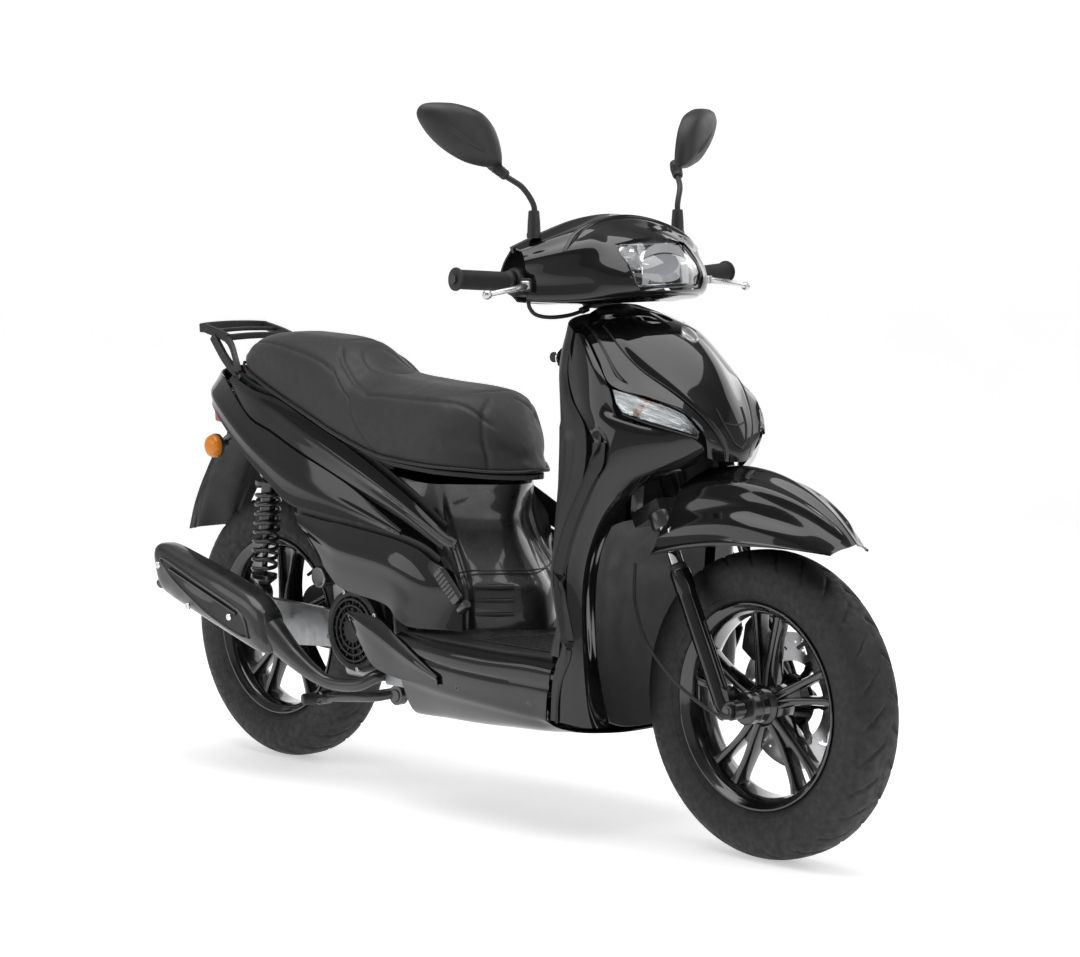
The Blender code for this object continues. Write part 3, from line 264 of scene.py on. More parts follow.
def shell_mesh(outer, back):
    """Closed sheet between two grids of the same size."""
    rows, columns = outer.shape[:2]
    points = list(outer.reshape(-1, 3)) + list(back.reshape(-1, 3))
    offset = rows * columns
    faces = []
    for r in range(rows - 1):
        for c in range(columns - 1):
            a = r * columns + c
            faces.append((a, a + 1, a + columns + 1, a + columns))
            faces.append((a + offset, a + columns + offset, a + columns + 1 + offset, a + 1 + offset))
    rim = list(range(columns)) + [r * columns + columns - 1 for r in range(1, rows)]
    rim += [(rows - 1) * columns + c for c in range(columns - 2, -1, -1)]
    rim += [r * columns for r in range(rows - 2, 0, -1)]
    for k, a in enumerate(rim):
        b = rim[(k + 1) % len(rim)]
        faces.append((a, a + offset, b + offset, b))
    return points, faces


def panel(control, inside, rows=48, columns=28, thick=0.003, seam=0.0012, shape=None):
    """Panel of even thickness on a fair surface, its edges drawn in by the seam."""
    outer = surface(control, rows, columns)
    if shape is not None:
        u, v = np.meshgrid(np.linspace(0, 1, rows), np.linspace(0, 1, columns), indexing="ij")
        outer = outer + normals(outer, inside) * shape(u, v)[..., None]
    for axis in (0, 1):
        view = outer.swapaxes(0, axis)
        for edge, near in ((0, 1), (-1, -2)):
            step = view[near] - view[edge]
            length = np.linalg.norm(step, axis=1, keepdims=True)
            view[edge] = view[edge] + step / np.maximum(length, 1e-9) * np.minimum(seam, length * 0.8)
    n = normals(outer, inside)
    return shell_mesh(outer, outer - n * thick)


def mirrored(solid):
    return [(p[0], -p[1], p[2]) for p in solid[0]], [tuple(reversed(f)) for f in solid[1]]


def loft(loops, closed=False, caps=True):
    count = len(loops[0])
    points = [tuple(p) for loop in loops for p in loop]
    faces = []
    runs = len(loops) if closed else len(loops) - 1
    for s in range(runs):
        a0, b0 = s * count, ((s + 1) % len(loops)) * count
        for k in range(count):
            m = (k + 1) % count
            faces.append((a0 + k, a0 + m, b0 + m, b0 + k))
    if caps and not closed:
        faces.append(tuple(reversed(range(count))))
        faces.append(tuple(range((len(loops) - 1) * count, len(loops) * count)))
    return points, faces


def tube(path, radius, sides=16, smooth=0, closed=False, flat=1.0):
    path = [Vector(p) for p in (curve_through(path, smooth) if smooth else path)]
    if isinstance(radius, (int, float)):
        radii = [radius] * len(path)
    else:
        radii = list(curve_through([(r,) for r in radius], len(path))[:, 0])
    loops, up = [], None
    for k, centre in enumerate(path):
        if closed:
            along = path[(k + 1) % len(path)] - path[k - 1]
        else:
            along = path[min(k + 1, len(path) - 1)] - path[max(k - 1, 0)]
        along.normalize()
        up = along.orthogonal() if up is None else up
        up = (up - along * up.dot(along)).normalized()
        side = along.cross(up)
        loops.append([centre + (up * math.cos(a) * flat + side * math.sin(a)) * radii[k]
                      for a in (2 * math.pi * (s + 0.5) / sides for s in range(sides))])
    return loft(loops, closed)


def turned(profile, centre, axis, sides=64, ring=False):
    axis = Vector(axis).normalized()
    first = Vector((0, 0, 1)) if abs(axis.z) < 0.9 else Vector((1, 0, 0))
    first = (first - axis * first.dot(axis)).normalized()
    second = axis.cross(first)
    loops = [[Vector(centre) + axis * along + (first * math.cos(a) + second * math.sin(a)) * radius
              for a in (2 * math.pi * s / sides for s in range(sides))] for radius, along in profile]
    return loft(loops, ring)


def slab(outline, axis, low, high):
    def place(p, h):
        q = list(p)
        q.insert(axis, h)
        return tuple(q)
    return loft([[place(p, low) for p in outline], [place(p, high) for p in outline]])


def bar(path, width, depth, smooth=0, upright=(0, 0, 1)):
    """Flat bar along a path: width across, depth along the upright direction."""
    path = [Vector(p) for p in (curve_through(path, smooth) if smooth else path)]
    loops = []
    for k, p in enumerate(path):
        along = (path[min(k + 1, len(path) - 1)] - path[max(k - 1, 0)]).normalized()
        across = Vector(upright).cross(along).normalized()
        lift = along.cross(across)
        w = width[0] + (width[1] - width[0]) * k / (len(path) - 1) if isinstance(width, tuple) else width
        loops.append([p + across * a * w / 2 + lift * b * depth / 2
                      for a, b in ((-1, -1), (1, -1), (1, 1), (-1, 1))])
    return loft(loops)


def join(solids):
    points, faces = [], []
    for p, f in solids:
        base = len(points)
        points += [tuple(q) for q in p]
        faces += [tuple(i + base for i in face) for face in f]
    return points, faces


def add(name, solid, mat, body, stands=(), bevel=0.0, sharp=32, segments=2):
    """One finished piece: mesh, shading, rounded edges, material, body."""
    mesh = bpy.data.meshes.new(name)
    mesh.from_pydata([tuple(map(float, p)) for p in solid[0]], [], solid[1])
    work = bmesh.new()
    work.from_mesh(mesh)
    bmesh.ops.remove_doubles(work, verts=work.verts, dist=1e-6)
    bmesh.ops.recalc_face_normals(work, faces=work.faces)
    work.to_mesh(mesh)
    work.free()
    item = bpy.data.objects.new(name, mesh)
    bpy.context.scene.collection.objects.link(item)
    mesh.materials.append(M[mat] if isinstance(mat, str) else mat)
    mesh.shade_smooth()
    if sharp and not bevel:
        mesh.set_sharp_from_angle(angle=math.radians(sharp))
    if bevel:
        step = item.modifiers.new("edge", "BEVEL")
        step.width = bevel
        step.segments = segments
        step.limit_method = "ANGLE"
        step.angle_limit = math.radians(sharp)
        step.harden_normals = True
    if body:
        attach(item, body)
    if stands:
        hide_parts(*stands)
    return item


def pair(name, solid, mat, body, stands=None, left_body=None, **more):
    """The piece on the right and its mirror image on the left."""
    a = add(name + "_right_skin", solid, mat, body, (stands + "_right",) if stands else (), **more)
    b = add(name + "_left_skin", mirrored(solid), mat, left_body or body,
            (stands + "_left",) if stands else (),
            **more)
    return a, b


# ------------------------------------------------- panel shapes, as in the CAD
NOSE = [
    [(0.300, -0.118, 0.906), (0.296, -0.085, 0.930), (0.292, -0.045, 0.944), (0.291, 0, 0.948)],
    [(0.338, -0.127, 0.896), (0.352, -0.100, 0.912), (0.362, -0.055, 0.926), (0.372, 0, 0.930)],
    [(0.380, -0.140, 0.858), (0.400, -0.110, 0.878), (0.428, -0.056, 0.900), (0.458, 0, 0.897)],
    [(0.424, -0.150, 0.814), (0.455, -0.113, 0.832), (0.490, -0.057, 0.848), (0.522, 0, 0.842)],
    [(0.496, -0.124, 0.794), (0.515, -0.100, 0.797), (0.536, -0.052, 0.790), (0.560, 0, 0.785)],
    [(0.543, -0.095, 0.773), (0.552, -0.075, 0.765), (0.568, -0.045, 0.748), (0.578, 0, 0.742)],
    [(0.571, -0.071, 0.732), (0.575, -0.058, 0.725), (0.582, -0.032, 0.713), (0.588, 0, 0.706)],
    [(0.566, -0.056, 0.690), (0.572, -0.046, 0.686), (0.580, -0.025, 0.683), (0.585, 0, 0.682)],
]
APRON = [
    [(0.298, -0.124, 0.899), (0.310, -0.127, 0.900), (0.322, -0.128, 0.900), (0.334, -0.128, 0.897)],
    [(0.300, -0.136, 0.835), (0.340, -0.147, 0.845), (0.378, -0.152, 0.842), (0.418, -0.152, 0.812)],
    [(0.330, -0.150, 0.783), (0.370, -0.163, 0.784), (0.410, -0.165, 0.776), (0.447, -0.153, 0.757)],
    [(0.383, -0.171, 0.745), (0.420, -0.174, 0.750), (0.460, -0.160, 0.752), (0.500, -0.133, 0.746)],
    [(0.412, -0.182, 0.715), (0.455, -0.174, 0.718), (0.510, -0.140, 0.722), (0.565, -0.082, 0.722)],
    [(0.415, -0.190, 0.680), (0.450, -0.176, 0.675), (0.500, -0.135, 0.672), (0.553, -0.062, 0.684)],
    [(0.404, -0.197, 0.645), (0.425, -0.183, 0.640), (0.447, -0.157, 0.636), (0.462, -0.118, 0.634)],
    [(0.372, -0.214, 0.560), (0.392, -0.197, 0.556), (0.405, -0.171, 0.551), (0.404, -0.140, 0.546)],
    [(0.357, -0.224, 0.474), (0.377, -0.206, 0.472), (0.388, -0.179, 0.470), (0.386, -0.147, 0.468)],
    [(0.377, -0.223, 0.365), (0.389, -0.206, 0.365), (0.391, -0.177, 0.365), (0.382, -0.146, 0.365)],
    [(0.352, -0.222, 0.300), (0.384, -0.205, 0.287), (0.396, -0.172, 0.275), (0.390, -0.136, 0.270)],
    [(0.335, -0.212, 0.222), (0.370, -0.195, 0.216), (0.395, -0.165, 0.210), (0.402, -0.128, 0.207)],
]
INDICATOR = [
    [(0.427, -0.151, 0.807), (0.439, -0.154, 0.786), (0.456, -0.152, 0.765)],
    [(0.496, -0.126, 0.789), (0.503, -0.134, 0.768), (0.502, -0.133, 0.751)],
    [(0.543, -0.097, 0.768), (0.547, -0.103, 0.752), (0.545, -0.103, 0.737)],
    [(0.567, -0.077, 0.735), (0.569, -0.080, 0.731), (0.567, -0.081, 0.727)],
]
LEG_SHIELD = [
    [(0.291, -0.116, 0.903), (0.262, -0.100, 0.915), (0.240, -0.060, 0.925), (0.230, 0, 0.930)],
    [(0.296, -0.133, 0.837), (0.270, -0.128, 0.840), (0.225, -0.080, 0.850), (0.205, 0, 0.850)],
    [(0.318, -0.144, 0.787), (0.298, -0.149, 0.778), (0.245, -0.100, 0.770), (0.200, 0, 0.765)],
    [(0.377, -0.166, 0.731), (0.318, -0.160, 0.725), (0.255, -0.110, 0.700), (0.200, 0, 0.690)],
    [(0.396, -0.192, 0.648), (0.325, -0.178, 0.648), (0.265, -0.120, 0.630), (0.205, 0, 0.620)],
    [(0.369, -0.213, 0.562), (0.328, -0.200, 0.565), (0.275, -0.130, 0.550), (0.215, 0, 0.540)],
    [(0.353, -0.222, 0.478), (0.333, -0.212, 0.478), (0.280, -0.140, 0.470), (0.230, 0, 0.460)],
    [(0.371, -0.221, 0.400), (0.345, -0.211, 0.400), (0.292, -0.140, 0.395), (0.248, 0, 0.385)],
    [(0.364, -0.218, 0.337), (0.332, -0.208, 0.338), (0.288, -0.140, 0.338), (0.256, 0, 0.338)],
]
LINER = [
    [(0.390, -0.128, 0.560), (0.373, -0.070, 0.567), (0.368, 0, 0.569)],
    [(0.374, -0.136, 0.470), (0.352, -0.080, 0.470), (0.347, 0, 0.470)],
    [(0.370, -0.134, 0.360), (0.352, -0.080, 0.360), (0.345, 0, 0.360)],
    [(0.378, -0.126, 0.260), (0.362, -0.070, 0.255), (0.356, 0, 0.250)],
    [(0.390, -0.118, 0.214), (0.378, -0.070, 0.200), (0.372, 0, 0.195)],
]
BELLY = [
    [(-0.100, -0.186, 0.332), (-0.100, -0.203, 0.318), (-0.081, -0.205, 0.255), (-0.103, -0.150, 0.175),
     (-0.103, -0.070, 0.166), (-0.103, 0, 0.164)],
    [(0.020, -0.208, 0.328), (0.024, -0.222, 0.306), (0.038, -0.211, 0.240), (0.050, -0.162, 0.178),
     (0.050, -0.080, 0.168), (0.050, 0, 0.166)],
    [(0.165, -0.211, 0.326), (0.165, -0.225, 0.302), (0.180, -0.215, 0.232), (0.172, -0.172, 0.186),
     (0.172, -0.080, 0.171), (0.172, 0, 0.169)],
    [(0.275, -0.212, 0.326), (0.275, -0.225, 0.304), (0.275, -0.214, 0.226), (0.275, -0.178, 0.192),
     (0.275, -0.080, 0.177), (0.275, 0, 0.175)],
    [(0.347, -0.210, 0.325), (0.347, -0.223, 0.302), (0.330, -0.212, 0.224), (0.345, -0.165, 0.198),
     (0.352, -0.080, 0.186), (0.354, 0, 0.183)],
]
SEAT_POST = [
    [(-0.205, -0.136, 0.618), (-0.100, -0.134, 0.607), (-0.050, -0.100, 0.605), (0.010, -0.048, 0.605),
     (0.035, 0, 0.605)],
    [(-0.110, -0.146, 0.578), (-0.080, -0.134, 0.575), (-0.055, -0.098, 0.573), (-0.002, -0.045, 0.572),
     (0.024, 0, 0.571)],
    [(-0.060, -0.150, 0.536), (-0.062, -0.128, 0.534), (-0.058, -0.092, 0.532), (-0.012, -0.042, 0.530),
     (0.012, 0, 0.530)],
    [(-0.040, -0.145, 0.482), (-0.034, -0.126, 0.480), (-0.028, -0.094, 0.477), (0.018, -0.048, 0.474),
     (0.042, 0, 0.472)],
    [(-0.020, -0.140, 0.436), (-0.008, -0.130, 0.436), (0.000, -0.100, 0.436), (0.048, -0.050, 0.436),
     (0.072, 0, 0.436)],
    [(-0.010, -0.140, 0.405), (0.008, -0.132, 0.405), (0.018, -0.104, 0.405), (0.070, -0.052, 0.405),
     (0.098, 0, 0.405)],
    [(-0.005, -0.140, 0.338), (0.012, -0.134, 0.338), (0.022, -0.106, 0.338), (0.074, -0.053, 0.338),
     (0.104, 0, 0.338)],
]
SIDE_COVER = [
    [(-0.726, -0.108, 0.768), (-0.724, -0.107, 0.772), (-0.720, -0.105, 0.777)],
    [(-0.632, -0.132, 0.704), (-0.630, -0.131, 0.732), (-0.628, -0.123, 0.754)],
    [(-0.546, -0.141, 0.677), (-0.545, -0.138, 0.710), (-0.540, -0.126, 0.738)],
    [(-0.453, -0.148, 0.645), (-0.452, -0.147, 0.680), (-0.449, -0.133, 0.708)],
    [(-0.292, -0.154, 0.593), (-0.290, -0.156, 0.626), (-0.285, -0.143, 0.652)],
    [(-0.133, -0.163, 0.547), (-0.130, -0.165, 0.568), (-0.125, -0.155, 0.586)],
    [(-0.007, -0.168, 0.500), (-0.008, -0.168, 0.515), (-0.010, -0.165, 0.530)],
    [(0.028, -0.163, 0.496), (0.030, -0.163, 0.503), (0.032, -0.161, 0.510)],
]
TAIL_WING = [
    [(-0.121, -0.170, 0.508), (-0.118, -0.171, 0.513), (-0.115, -0.171, 0.519)],
    [(-0.298, -0.172, 0.527), (-0.296, -0.166, 0.556), (-0.292, -0.154, 0.589)],
    [(-0.458, -0.166, 0.543), (-0.456, -0.163, 0.592), (-0.453, -0.148, 0.641)],
    [(-0.552, -0.156, 0.585), (-0.550, -0.153, 0.625), (-0.546, -0.141, 0.673)],
    [(-0.650, -0.141, 0.633), (-0.645, -0.140, 0.665), (-0.632, -0.132, 0.700)],
    [(-0.762, -0.112, 0.694), (-0.765, -0.110, 0.725), (-0.738, -0.107, 0.768)],
    [(-0.818, -0.080, 0.722), (-0.825, -0.076, 0.748), (-0.800, -0.070, 0.782)],
    [(-0.850, 0, 0.735), (-0.860, 0, 0.758), (-0.830, 0, 0.790)],
]
LOWER_COVER = [
    [(-0.395, -0.166, 0.470), (-0.425, -0.166, 0.500), (-0.448, -0.164, 0.526)],
    [(-0.330, -0.172, 0.414), (-0.335, -0.176, 0.465), (-0.340, -0.172, 0.518)],
    [(-0.284, -0.174, 0.390), (-0.285, -0.180, 0.450), (-0.290, -0.174, 0.516)],
    [(-0.153, -0.183, 0.376), (-0.155, -0.185, 0.440), (-0.150, -0.175, 0.503)],
    [(-0.107, -0.190, 0.352), (-0.085, -0.187, 0.420), (-0.065, -0.176, 0.488)],
    [(-0.070, -0.186, 0.341), (-0.045, -0.179, 0.403), (-0.022, -0.170, 0.466)],
    [(0.000, -0.160, 0.340), (0.004, -0.155, 0.396), (0.008, -0.154, 0.452)],
    [(0.030, -0.147, 0.339), (0.026, -0.143, 0.386), (0.020, -0.141, 0.428)],
]
COWL_FRONT = [
    [(0.232, -0.206, 1.050), (0.252, -0.150, 1.076), (0.262, -0.080, 1.098), (0.266, 0, 1.107)],
    [(0.262, -0.212, 1.040), (0.305, -0.155, 1.058), (0.345, -0.095, 1.070), (0.362, 0, 1.080)],
    [(0.276, -0.214, 1.000), (0.340, -0.165, 1.005), (0.400, -0.105, 1.012), (0.425, 0, 1.020)],
    [(0.272, -0.210, 0.962), (0.340, -0.160, 0.958), (0.408, -0.095, 0.968), (0.440, 0, 0.972)],
    [(0.252, -0.195, 0.952), (0.300, -0.140, 0.950), (0.350, -0.080, 0.951), (0.375, 0, 0.953)],
]
COWL_REAR = [
    [(0.224, -0.203, 1.048), (0.244, -0.150, 1.072), (0.254, -0.080, 1.094), (0.258, 0, 1.103)],
    [(0.198, -0.197, 1.020), (0.195, -0.130, 1.040), (0.190, -0.070, 1.055), (0.188, 0, 1.060)],
    [(0.192, -0.196, 0.985), (0.185, -0.130, 0.985), (0.180, -0.070, 0.980), (0.178, 0, 0.980)],
    [(0.226, -0.190, 0.952), (0.225, -0.130, 0.947), (0.225, -0.070, 0.946), (0.225, 0, 0.946)],
]
HEADLIGHT = [
    [(0.352, -0.087, 1.059), (0.362, -0.045, 1.065), (0.368, 0, 1.068)],
    [(0.401, -0.086, 1.014), (0.418, -0.045, 1.018), (0.424, 0, 1.020)],
    [(0.412, -0.078, 0.980), (0.431, -0.042, 0.982), (0.438, 0, 0.983)],
]
FENDER = [
    [(0.484, -0.112, 0.518), (0.504, -0.106, 0.572), (0.516, -0.080, 0.625), (0.518, -0.040, 0.655),
     (0.520, 0, 0.664)],
    [(0.560, -0.112, 0.535), (0.565, -0.106, 0.580), (0.578, -0.082, 0.630), (0.588, -0.040, 0.662),
     (0.592, 0, 0.674)],
    [(0.645, -0.106, 0.548), (0.650, -0.098, 0.590), (0.660, -0.076, 0.628), (0.668, -0.038, 0.655),
     (0.672, 0, 0.668)],
    [(0.730, -0.092, 0.552), (0.735, -0.084, 0.580), (0.742, -0.064, 0.608), (0.748, -0.032, 0.630),
     (0.752, 0, 0.640)],
    [(0.800, -0.070, 0.550), (0.803, -0.063, 0.563), (0.808, -0.048, 0.580), (0.812, -0.024, 0.594),
     (0.815, 0, 0.600)],
    [(0.842, -0.046, 0.546), (0.845, -0.040, 0.550), (0.850, -0.028, 0.555), (0.855, -0.014, 0.558),
     (0.857, 0, 0.560)],
]
MUDGUARD = [
    [(-0.755, -0.080, 0.650), (-0.772, -0.045, 0.664), (-0.775, 0, 0.666)],
    [(-0.800, -0.082, 0.622), (-0.828, -0.050, 0.644), (-0.832, 0, 0.648)],
    [(-0.848, -0.080, 0.568), (-0.872, -0.050, 0.580), (-0.876, 0, 0.583)],
    [(-0.890, -0.076, 0.505), (-0.908, -0.045, 0.512), (-0.911, 0, 0.514)],
    [(-0.922, -0.068, 0.447), (-0.930, -0.040, 0.448), (-0.931, 0, 0.448)],
]
SEAT_PROFILE = (
    # x, underside, ridge height, top, half width below, at the ridge
    (0.086, 0.629, 0.634, 0.639, 0.014, 0.010),
    (0.074, 0.627, 0.650, 0.658, 0.028, 0.022),
    (0.048, 0.626, 0.676, 0.688, 0.052, 0.038),
    (0.015, 0.627, 0.712, 0.726, 0.080, 0.056),
    (-0.020, 0.630, 0.745, 0.757, 0.106, 0.074),
    (-0.055, 0.632, 0.758, 0.771, 0.125, 0.088),
    (-0.110, 0.636, 0.761, 0.778, 0.141, 0.104),
    (-0.220, 0.647, 0.763, 0.784, 0.148, 0.109),
    (-0.340, 0.677, 0.768, 0.800, 0.145, 0.104),
    (-0.430, 0.706, 0.820, 0.850, 0.138, 0.094),
    (-0.580, 0.753, 0.848, 0.862, 0.121, 0.082),
    (-0.680, 0.785, 0.848, 0.860, 0.100, 0.070),
    (-0.738, 0.806, 0.830, 0.842, 0.062, 0.048),
)


# ---------------------------------------------------------------- camera, light, floor
def studio():
    camera = bpy.data.cameras.new("camera")
    camera.lens = 102.4
    camera.sensor_width = 36
    view = bpy.data.objects.new("camera", camera)
    view.location = (4.2376, -3.8435, 1.1614)
    view.rotation_euler = Vector((-0.7309, 0.6757, -0.0956)).to_track_quat("-Z", "Y").to_euler()
    bpy.context.scene.collection.objects.link(view)
    bpy.context.scene.camera = view

    world = bpy.data.worlds.new("studio")
    bpy.context.scene.world = world
    world.use_nodes = True
    tree = world.node_tree
    where = tree.nodes.new("ShaderNodeTexCoord")
    split = tree.nodes.new("ShaderNodeSeparateXYZ")
    ramp = tree.nodes.new("ShaderNodeValToRGB")
    ramp.color_ramp.elements[0].position = 0.0
    ramp.color_ramp.elements[0].color = (0.45, 0.45, 0.46, 1)
    ramp.color_ramp.elements[1].position = 1.0
    ramp.color_ramp.elements[1].color = (0.75, 0.75, 0.75, 1)
    for place, shade in ((0.50, 0.34), (0.56, 0.17), (0.74, 0.22), (0.92, 0.55)):
        stop = ramp.color_ramp.elements.new(place)
        stop.color = (shade, shade, shade * 1.01, 1)
    tree.links.new(where.outputs["Generated"], split.inputs[0])
    tree.links.new(split.outputs["Z"], ramp.inputs["Fac"])
    tree.links.new(ramp.outputs["Color"], tree.nodes["Background"].inputs["Color"])
    tree.nodes["Background"].inputs["Strength"].default_value = 1.0
    bpy.context.scene.view_settings.view_transform = "Standard"

    for name, place, target, size, power in (
            ("overhead", (0.2, -0.3, 3.2), (0.0, 0.0, 0.6), (3.6, 2.6), 72),
            ("side_box", (-1.6, -3.4, 1.9), (-0.1, 0.0, 0.6), (3.4, 1.7), 24),
            ("nose_box", (3.6, 0.3, 2.0), (0.5, 0.0, 0.8), (1.5, 2.2), 17),
            ("left_box", (0.6, 3.2, 2.2), (0.0, 0.0, 0.7), (3.6, 1.8), 30)):
        light = bpy.data.lights.new(name, "AREA")
        light.shape = "RECTANGLE"
        light.size, light.size_y = size
        light.energy = power
        lamp = bpy.data.objects.new(name, light)
        lamp.location = place
        lamp.rotation_euler = (Vector(target) - Vector(place)).to_track_quat("-Z", "Y").to_euler()
        bpy.context.scene.collection.objects.link(lamp)

    pale = Maker("studio_floor", (0.93, 0.93, 0.935), 0.8, Emission_Color=(1, 1, 1, 1),
                 Emission_Strength=0.46)
    pale.tint(pale.noise(3, 3), (0.915, 0.915, 0.92), (0.945, 0.945, 0.95))
    pale.bump(pale.noise(90, 2), 0.02, 0.0005)
    verts, faces = [], []
    sweep = [(9.0, 0.0), (-8.0, 0.0)]
    sweep += [(-8.0 - 1.4 * math.sin(a), 1.4 - 1.4 * math.cos(a)) for a in np.linspace(0.12, math.pi / 2,
            14)]
    sweep += [(-9.4, 5.0)]
    along = Vector((0.7309, -0.6757, 0)).normalized()
    across = Vector((-along.y, along.x, 0))
    for d, z in sweep:
        for s in (-8, 8):
            p = along * d + across * s
            verts.append((p.x, p.y, z - 0.0005))
    for k in range(len(sweep) - 1):
        faces.append((2 * k, 2 * k + 1, 2 * k + 3, 2 * k + 2))
    mesh = bpy.data.meshes.new("studio_floor")
    mesh.from_pydata(verts, [], faces)
    mesh.shade_smooth()
    mesh.materials.append(pale.mat)
    floor = bpy.data.objects.new("studio_floor", mesh)
    bpy.context.scene.collection.objects.link(floor)


# ---------------------------------------------------------------- bodywork
def line_on(control, inside, marks, lift=0.0, count=40):
    """Points on a panel's surface along a run of (row, column) marks, 0 to 1."""
    rows, columns = 90, 60
    grid = surface(control, rows, columns)
    n = normals(grid, inside)
    marks = curve_through(marks, count)
    out = []
    for u, v in marks:
        r = min(max(u, 0), 1) * (rows - 1)
        c = min(max(v, 0), 1) * (columns - 1)
        i, j = min(int(r), rows - 2), min(int(c), columns - 2)
        f, g = r - i, c - j
        w = ((i, j, (1 - f) * (1 - g)), (i + 1, j, f * (1 - g)), (i, j + 1, (1 - f) * g),
             (i + 1, j + 1, f * g))
        out.append(tuple(sum(grid[a, b] * k for a, b, k in w) + sum(n[a, b] * k for a, b, k in w) * lift))
    return out


def screw(name, place, out, body, radius=0.005, mat="silver"):
    out = Vector(out).normalized()
    head = turned([(radius * 0.2, 0.0010), (radius * 0.45, 0.0010), (radius * 0.5, 0.0022),
                   (radius * 0.85, 0.0022),
                   (radius, 0.0008), (radius, -0.002), (radius * 0.2, -0.002)], place, out, 20)
    return add(name, head, mat, body)


def bodywork():
    inside = (0.36, 0, 0.75)

    def nose(u, v):
        t = abs(v - 0.5) * 2
        edge = 0.62 - 0.30 * smooth(u, 0.25, 0.95)
        raised = 0.0045 * (1 - smooth(t, edge - 0.05, edge + 0.05)) * smooth(u, 0.16, 0.30)
        outer = 0.003 * smooth(t, 0.84, 0.88) * (1 - smooth(u, 0.40, 0.48)) * smooth(u, 0.05, 0.1)
        return raised - outer
    add("nose_skin", panel(symmetric(NOSE), inside, 150, 150, 0.003, 0.0012, nose), "gloss", "chassis",
        ("nose_panel",), bevel=0.0008)
    disc = turned([(0.004, 0.0045), (0.012, 0.0042), (0.0165, 0.0036), (0.018, 0.0022), (0.0185, -0.003),
                   (0.004, -0.003)], (0, 0, 0), (0, 0, 1), 48)
    facing = Vector((0.58, 0, 0.81)).to_track_quat("Z", "Y").to_matrix().to_4x4()
    frame_at = Matrix.Translation((0.4645, 0, 0.8985)) @ facing
    add("nose_roundel", ([tuple(frame_at @ Vector((p[0] * 0.8, p[1] * 1.15, p[2]))) for p in disc[0]],
                         disc[1]),
        "silver", "chassis")
    for k, way in enumerate((-1, 1)):
        marks = [(u, 0.5 + way * 0.5 * (0.665 - 0.30 * float(smooth(u, 0.25, 0.95))))
                 for u in np.linspace(0.14, 0.97, 14)]
        seam = line_on(symmetric(NOSE), inside, marks, 0.0012, 90)
        add("nose_seam_%d" % k, tube(seam, 0.0016, 8), "trim", "chassis")
    for k, (c0, c1) in enumerate(((0.40, 0.435), (0.60, 0.565))):
        path = line_on(symmetric(NOSE), inside, [(0.62, c0), (0.72, c0 + (c1 - c0) * 0.2), (0.83, c1)],
                       0.0046)
        add("nose_slot_edge_%d" % k, tube(path, 0.0022, 8), "trim", "chassis")
    add("nose_slot_foot", tube(line_on(symmetric(NOSE), inside, [(0.83, 0.435), (0.86, 0.5),
            (0.83, 0.565)], 0.0046),
                               0.0022, 8), "trim", "chassis")
    add("nose_slot_bar", tube(line_on(symmetric(NOSE), inside, [(0.70, 0.415), (0.71, 0.5), (0.70, 0.585)],
                                      0.0046),
                              0.0016, 8), "trim", "chassis")

    def apron(u, v):
        above = 1 - smooth(u, 0.76, 0.84)
        strip = -0.0035 * (1 - smooth(v, 0.20, 0.24)) * smooth(u, 0.30, 0.36) * above
        groove = -0.003 * np.exp(-((v - 0.235) / 0.018) ** 2) * smooth(u, 0.28, 0.34) * above
        crease = 0.005 * np.exp(-((v - 0.62 + 0.25 * (u - 0.6)) / 0.16) ** 2) * smooth(u, 0.55, 0.70)
        return strip + groove + crease
    solid = panel(APRON, (0.30, -0.05, 0.60), 150, 64, 0.003, 0.0012, apron)
    pair("apron", solid, "gloss", "chassis", "apron", bevel=0.0008)
    trim = panel([row[:2] for row in APRON[4:10]], (0.30, -0.05, 0.60), 60, 8, 0.0015, 0.0,
                 lambda u, v: 0.0012 + 0 * v)
    narrow = np.array(trim[0])
    rows, columns = 60, 8
    for layer in (0, 1):
        block = narrow[layer * rows * columns:(layer + 1) * rows * columns].reshape(rows, columns, 3)
        a, b = block[:, :1].copy(), block[:, -1:].copy()
        share = np.linspace(0.02, 0.62, columns)[None, :, None]
        block[:] = a + (b - a) * share
    out = Vector((0.25, -1, 0)).normalized()
    narrow = [(p[0] + out.x * 0.0006, p[1] + out.y * 0.0006, p[2]) for p in narrow]
    pair("apron_edge_strip", (narrow, trim[1]), "matte", "chassis")

    for name, thick, mat in (("lens", 0.0025, "clear"), ("reflector", 0.002, "chrome")):
        ribs = (lambda u, v: 0.001 + 0.0005 * np.sin(v * 90)) if name == "lens" else (
            lambda u, v: -0.004 - 0.020 * np.sin(math.pi * np.clip(u, 0, 1)) * np.sin(math.pi * v))
        part = panel(INDICATOR, (0.40, -0.03, 0.72), 60, 60, thick, 0.0015, ribs)
        pair("front_indicator_" + name, part, mat, "chassis", "front_indicator" if name == "lens" else None)
    rim = line_on(INDICATOR, (0.40, -0.03, 0.72), [(0.0, 0.98), (0.3, 1.0), (0.66, 1.0), (1.0, 0.98)],
                  0.001)
    pair("front_indicator_rim", tube(rim, 0.0032, 10), "gloss", "chassis")
    bulb = turned([(0.0, 0.016), (0.004, 0.015), (0.0068, 0.010), (0.0075, 0.004), (0.006, -0.004),
                   (0.006, -0.012),
                   (0.0, -0.012)], (0.470, -0.128, 0.768), (0.35, -0.9, 0.2), 24)
    pair("front_indicator_bulb", bulb, "amber", "chassis")

